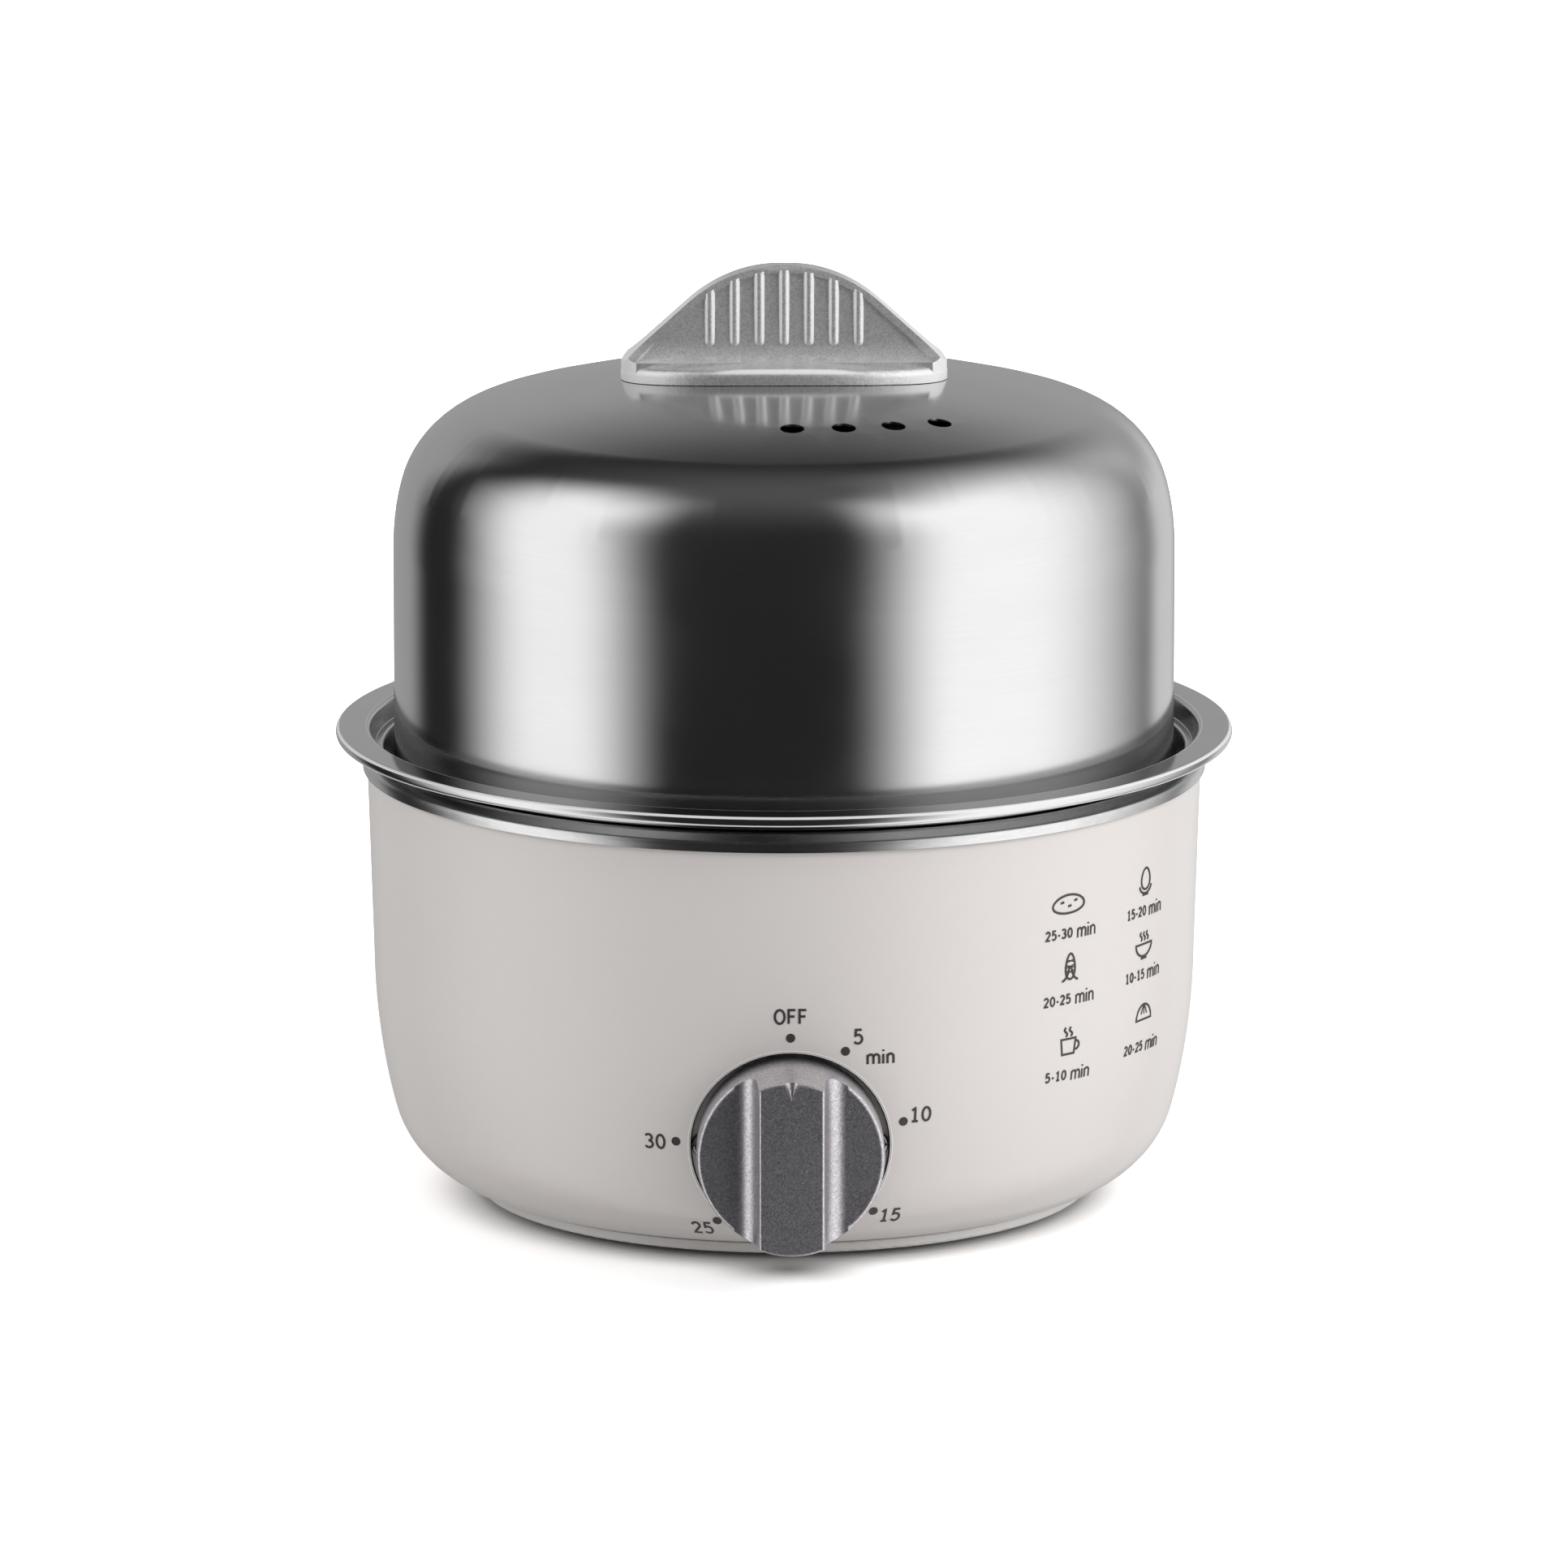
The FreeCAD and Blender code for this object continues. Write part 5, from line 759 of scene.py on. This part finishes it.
def glyph_strokes():
    """Strokes and width of each letter and figure, where a capital letter is 1 high."""
    small = SMALL_LETTER
    stem = path((0.0, 0.0), (0.0, small))
    return {
        "0": ([oval((0.29, 0.5), 0.29, 0.5)], 0.58),
        "1": ([path((0.06, 0.83), (0.3, 1.0), (0.3, 0.0)),
               path((0.08, 0.0), (0.52, 0.0))], 0.56),
        "2": ([oval((0.27, 0.72), 0.26, 0.28, 165, -25, 14)
               + path((0.0, 0.0), (0.56, 0.0))], 0.56),
        "3": ([oval((0.24, 0.76), 0.25, 0.24, 150, -90, 14),
               oval((0.24, 0.26), 0.3, 0.26, 90, -150, 14)], 0.55),
        "5": ([path((0.5, 1.0), (0.09, 1.0), (0.05, 0.57))
               + oval((0.24, 0.32), 0.3, 0.32, 128, -145, 16)], 0.56),
        "O": ([oval((0.34, 0.5), 0.34, 0.5)], 0.68),
        "F": ([path((0.0, 0.0), (0.0, 1.0), (0.48, 1.0)),
               path((0.0, 0.53), (0.42, 0.53))], 0.48),
        "m": ([stem, oval((0.21, small - 0.21), 0.21, 0.21, 180, 0, 8) + path((0.42, 0.0)),
               oval((0.63, small - 0.21), 0.21, 0.21, 180, 0, 8) + path((0.84, 0.0))], 0.84),
        "i": ([stem, path((0.0, 0.9), (0.0, 1.02))], 0.02),
        "n": ([stem, oval((0.22, small - 0.22), 0.22, 0.22, 180, 0, 8) + path((0.44, 0.0))], 0.44),
        "-": ([path((0.0, 0.38), (0.26, 0.38))], 0.26),
    }


def write_words(bm, words, cap_height, width, left):
    """Adds words from the left, centred on the line, and returns where they end."""
    shapes = glyph_strokes()
    height = cap_height - width
    for letter in words:
        strokes, wide = shapes[letter]
        for points in strokes:
            closed = letter in "0O"
            placed = [Vector((left + width / 2, -height / 2)) + p * height for p in points]
            stroke(bm, placed, width, closed)
        left += wide * height + width + LETTER_GAP * height / 2
    return left - LETTER_GAP * height / 2


def centred(bm, end):
    """Moves words that run from 0 to their end so that the origin is in their middle."""
    bmesh.ops.translate(bm, verts=bm.verts, vec=(-end / 2, 0, 0))
    raise_print(bm)


def raise_print(bm):
    """Gives flat faces the thickness of the ink, with walls down to the surface."""
    bmesh.ops.remove_doubles(bm, verts=bm.verts, dist=MERGE_DISTANCE)
    made = bmesh.ops.extrude_face_region(bm, geom=list(bm.faces))
    top = [v for v in made["geom"] if isinstance(v, bmesh.types.BMVert)]
    bmesh.ops.translate(bm, verts=top, vec=(0, 0, PRINT_HEIGHT))
    bmesh.ops.recalc_face_normals(bm, faces=bm.faces)


def stroke(bm, points, width=ICON_LINE, closed=False):
    """Adds a flat line of even width through points, in steps that are short enough to wrap well."""
    if not closed:
        fine = [points[0]]
        for before, after in zip(points, points[1:]):
            steps = max(math.ceil((after - before).length / STROKE_STEP), 1)
            fine += [before.lerp(after, i / steps) for i in range(1, steps + 1)]
        points = fine
    count = len(points)
    rows = []
    for i, point in enumerate(points):
        before = points[i - 1] if closed or i else point
        after = points[(i + 1) % count] if closed or i < count - 1 else point
        into = (point - before).normalized() if point != before else (after - point).normalized()
        out_of = (after - point).normalized() if point != after else into
        along = (into + out_of).normalized()
        side = Vector((-along.y, along.x)) * width / 2 / max(along.dot(into), MITRE_LIMIT)
        rows.append([bm.verts.new((*(point + side), 0)), bm.verts.new((*(point - side), 0))])
    for i in range(count if closed else count - 1):
        here, following = rows[i], rows[(i + 1) % count]
        bm.faces.new((here[0], here[1], following[1], following[0]))


def oval(centre, half_width, half_height, start=0, end=360, steps=28, taper=0.0):
    """Points along an oval, narrower towards its top where taper is above 0."""
    points = []
    count = steps if end - start >= 360 else steps + 1
    for i in range(count):
        angle = math.radians(start + (end - start) * i / steps)
        wide = half_width * (1 - taper * math.sin(angle))
        points.append(Vector(centre) + Vector((wide * math.cos(angle), half_height * math.sin(angle))))
    return points


def steam(bm, x, y, height):
    """Adds one waving line of steam."""
    points = []
    for i in range(STEAM_STEPS + 1):
        share = i / STEAM_STEPS
        points.append(Vector((x + STEAM_SWAY * math.sin(STEAM_WAVE * share), y + height * share)))
    stroke(bm, points)


def root_icon(bm):
    """Long root with three marks on its skin."""
    stroke(bm, oval((0, 0), 3.4, 1.5, taper=0.12), closed=True)
    for x, y in ((-1.4, 0.3), (0.2, -0.4), (1.5, 0.4)):
        stroke(bm, path((x - 0.35, y), (x + 0.35, y + 0.1)))


def cob_icon(bm):
    """Ear of grain between two leaves."""
    stroke(bm, oval((0, 0.2), 1.0, 2.1, taper=0.2), closed=True)
    for y in (-0.8, 0.1, 1.0):
        stroke(bm, path((-0.8, y - 0.1), (0.8, y + 0.3)), THIN_LINE)
        stroke(bm, path((-0.8, y + 0.3), (0.8, y - 0.1)), THIN_LINE)
    for side in (-1, 1):
        stroke(bm, oval((side * 1.9, 0.6), 1.7 * side, 2.7, 190, 265, 10))


def cup_icon(bm):
    """Cup with a handle and steam."""
    stroke(bm, path((-1.6, 0.6), (-1.3, -1.9), (1.3, -1.9), (1.6, 0.6)), closed=True)
    stroke(bm, oval((1.5, -0.6), 0.9, 0.75, -80, 90, 10))
    for x in (-0.6, 0.5):
        steam(bm, x, 1.0, 1.5)


def egg_icon(bm):
    """Egg standing in a cup."""
    stroke(bm, oval((0, 0.4), 1.35, 1.75, taper=0.16), closed=True)
    stroke(bm, oval((0, -0.5), 1.9, 1.5, 190, 350, 14))
    stroke(bm, path((-0.9, -2.2), (0.9, -2.2)))


def bowl_icon(bm):
    """Bowl with steam over it."""
    stroke(bm, oval((0, 0), 2.5, 2.0, 180, 360, 18), closed=True)
    stroke(bm, path((-0.9, -2.3), (0.9, -2.3)))
    for x in (-1.0, 0.0, 1.0):
        steam(bm, x, 0.6, 1.4)


def bun_icon(bm):
    """Folded bun with pleats."""
    stroke(bm, oval((0, -1.1), 2.4, 2.5, 0, 180, 18), closed=True)
    for side in (-1, 0, 1):
        stroke(bm, path((0, 1.4), (0.55 * side, 0.6), (0.9 * side, -0.2)), FINE_LINE)


def print_piece(name, bm):
    """Turns a wrapped drawing into an inked piece on the housing."""
    piece = finished_piece(name, bm, "print_ink")
    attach(piece, "base")


# Dial marks: what stands beside the dot, the dot's azimuth and height, and the label's
DIAL_MARKS = (
    ("OFF", (0.0, 52.2), (0.0, 56.7)),
    ("5", (7.5, 49.2), (9.3, 52.2)),
    ("10", (15.9, 33.4), (18.4, 34.7)),
    ("15", (12.5, 13.4), (15.3, 12.1)),
    ("25", (-11.1, 11.2), (-13.7, 9.0)),
    ("30", (-16.2, 29.2), (-19.3, 28.9)),
)
MINUTES_PLACE = (12.4, 47.7)

# Cooking times: the drawing, its azimuth and height, and the minutes with their place
COOKING_TIMES = (
    (root_icon, (41.5, 74.6), "25-30", (42.1, 69.3)),
    (cob_icon, (42.1, 60.9), "20-25", (42.1, 55.2)),
    (cup_icon, (42.1, 44.9), "5-10", (42.4, 38.9)),
    (egg_icon, (58.6, 75.0), "15-20", (58.7, 69.6)),
    (bowl_icon, (58.7, 61.5), "10-15", (58.8, 56.0)),
    (bun_icon, (59.3, 46.6), "20-25", (59.3, 40.4)),
)


def make_dial_marks():
    """Dots and numbers round the dial."""
    for words, dot_place, label_place in DIAL_MARKS:
        dot = bmesh.new()
        bmesh.ops.create_circle(dot, cap_ends=True, segments=DOT_STEPS, radius=DOT_R)
        raise_print(dot)
        wrapped(dot, *dot_place)
        print_piece(f"dial_dot_{words.lower()}", dot)
        label = bmesh.new()
        centred(label, write_words(label, words, DIAL_CAP_HEIGHT, DIAL_LINE, 0.0))
        wrapped(label, *label_place)
        print_piece(f"dial_mark_{words.lower()}", label)
    unit = bmesh.new()
    centred(unit, write_words(unit, "min", DIAL_CAP_HEIGHT, DIAL_LINE, 0.0))
    wrapped(unit, *MINUTES_PLACE)
    print_piece("dial_mark_min", unit)


def make_cooking_times():
    """Drawings of foods with their minutes, on the right of the housing."""
    for i, (draw, icon_place, minutes, minutes_place) in enumerate(COOKING_TIMES, 1):
        icon = bmesh.new()
        draw(icon)
        bmesh.ops.scale(icon, verts=icon.verts, vec=(ICON_SCALE, ICON_SCALE, 1))
        bmesh.ops.translate(icon, verts=icon.verts, vec=(0, ICON_RISE, 0))
        raise_print(icon)
        wrapped(icon, *icon_place)
        print_piece(f"food_drawing_{i}", icon)
        label = bmesh.new()
        end = write_words(label, minutes, TABLE_CAP_HEIGHT, TABLE_LINE, 0.0)
        centred(label, write_words(label, "min", TABLE_UNIT_CAP_HEIGHT, TABLE_LINE, end + TABLE_UNIT_GAP))
        wrapped(label, *minutes_place)
        print_piece(f"food_minutes_{i}", label)


bpy.context.scene.view_settings.view_transform = "Standard"
make_camera()
make_world()
for lamp_name, lamp_values in LAMPS.items():
    make_lamp(lamp_name, *lamp_values)
make_floor()
dress_nodes()
# The flange test places the painted highlight lines on the tray.
make_turned_sheet("turned_egg_tray", "egg_tray", "tray", TRAY_LINE, TRAY_BENDS, "stainless_sheet",
                  tray_holes(), flange_highlight_lines)
make_turned_sheet("turned_heating_basin", "heating_basin", "base", BASIN_LINE, BASIN_BENDS, "basin_sheet")
# Painted highlight: pale ring along the pocket's edge.
make_pocket_band("painted_pocket_highlight", HIGHLIGHT_RING_ROWS, "pocket_edge")
# Painted shade: a dark liner in the gap round the dial.
make_pocket_band("painted_pocket_shade", SHADE_LINER_ROWS, "rubber")
make_dial_marks()
make_cooking_times()
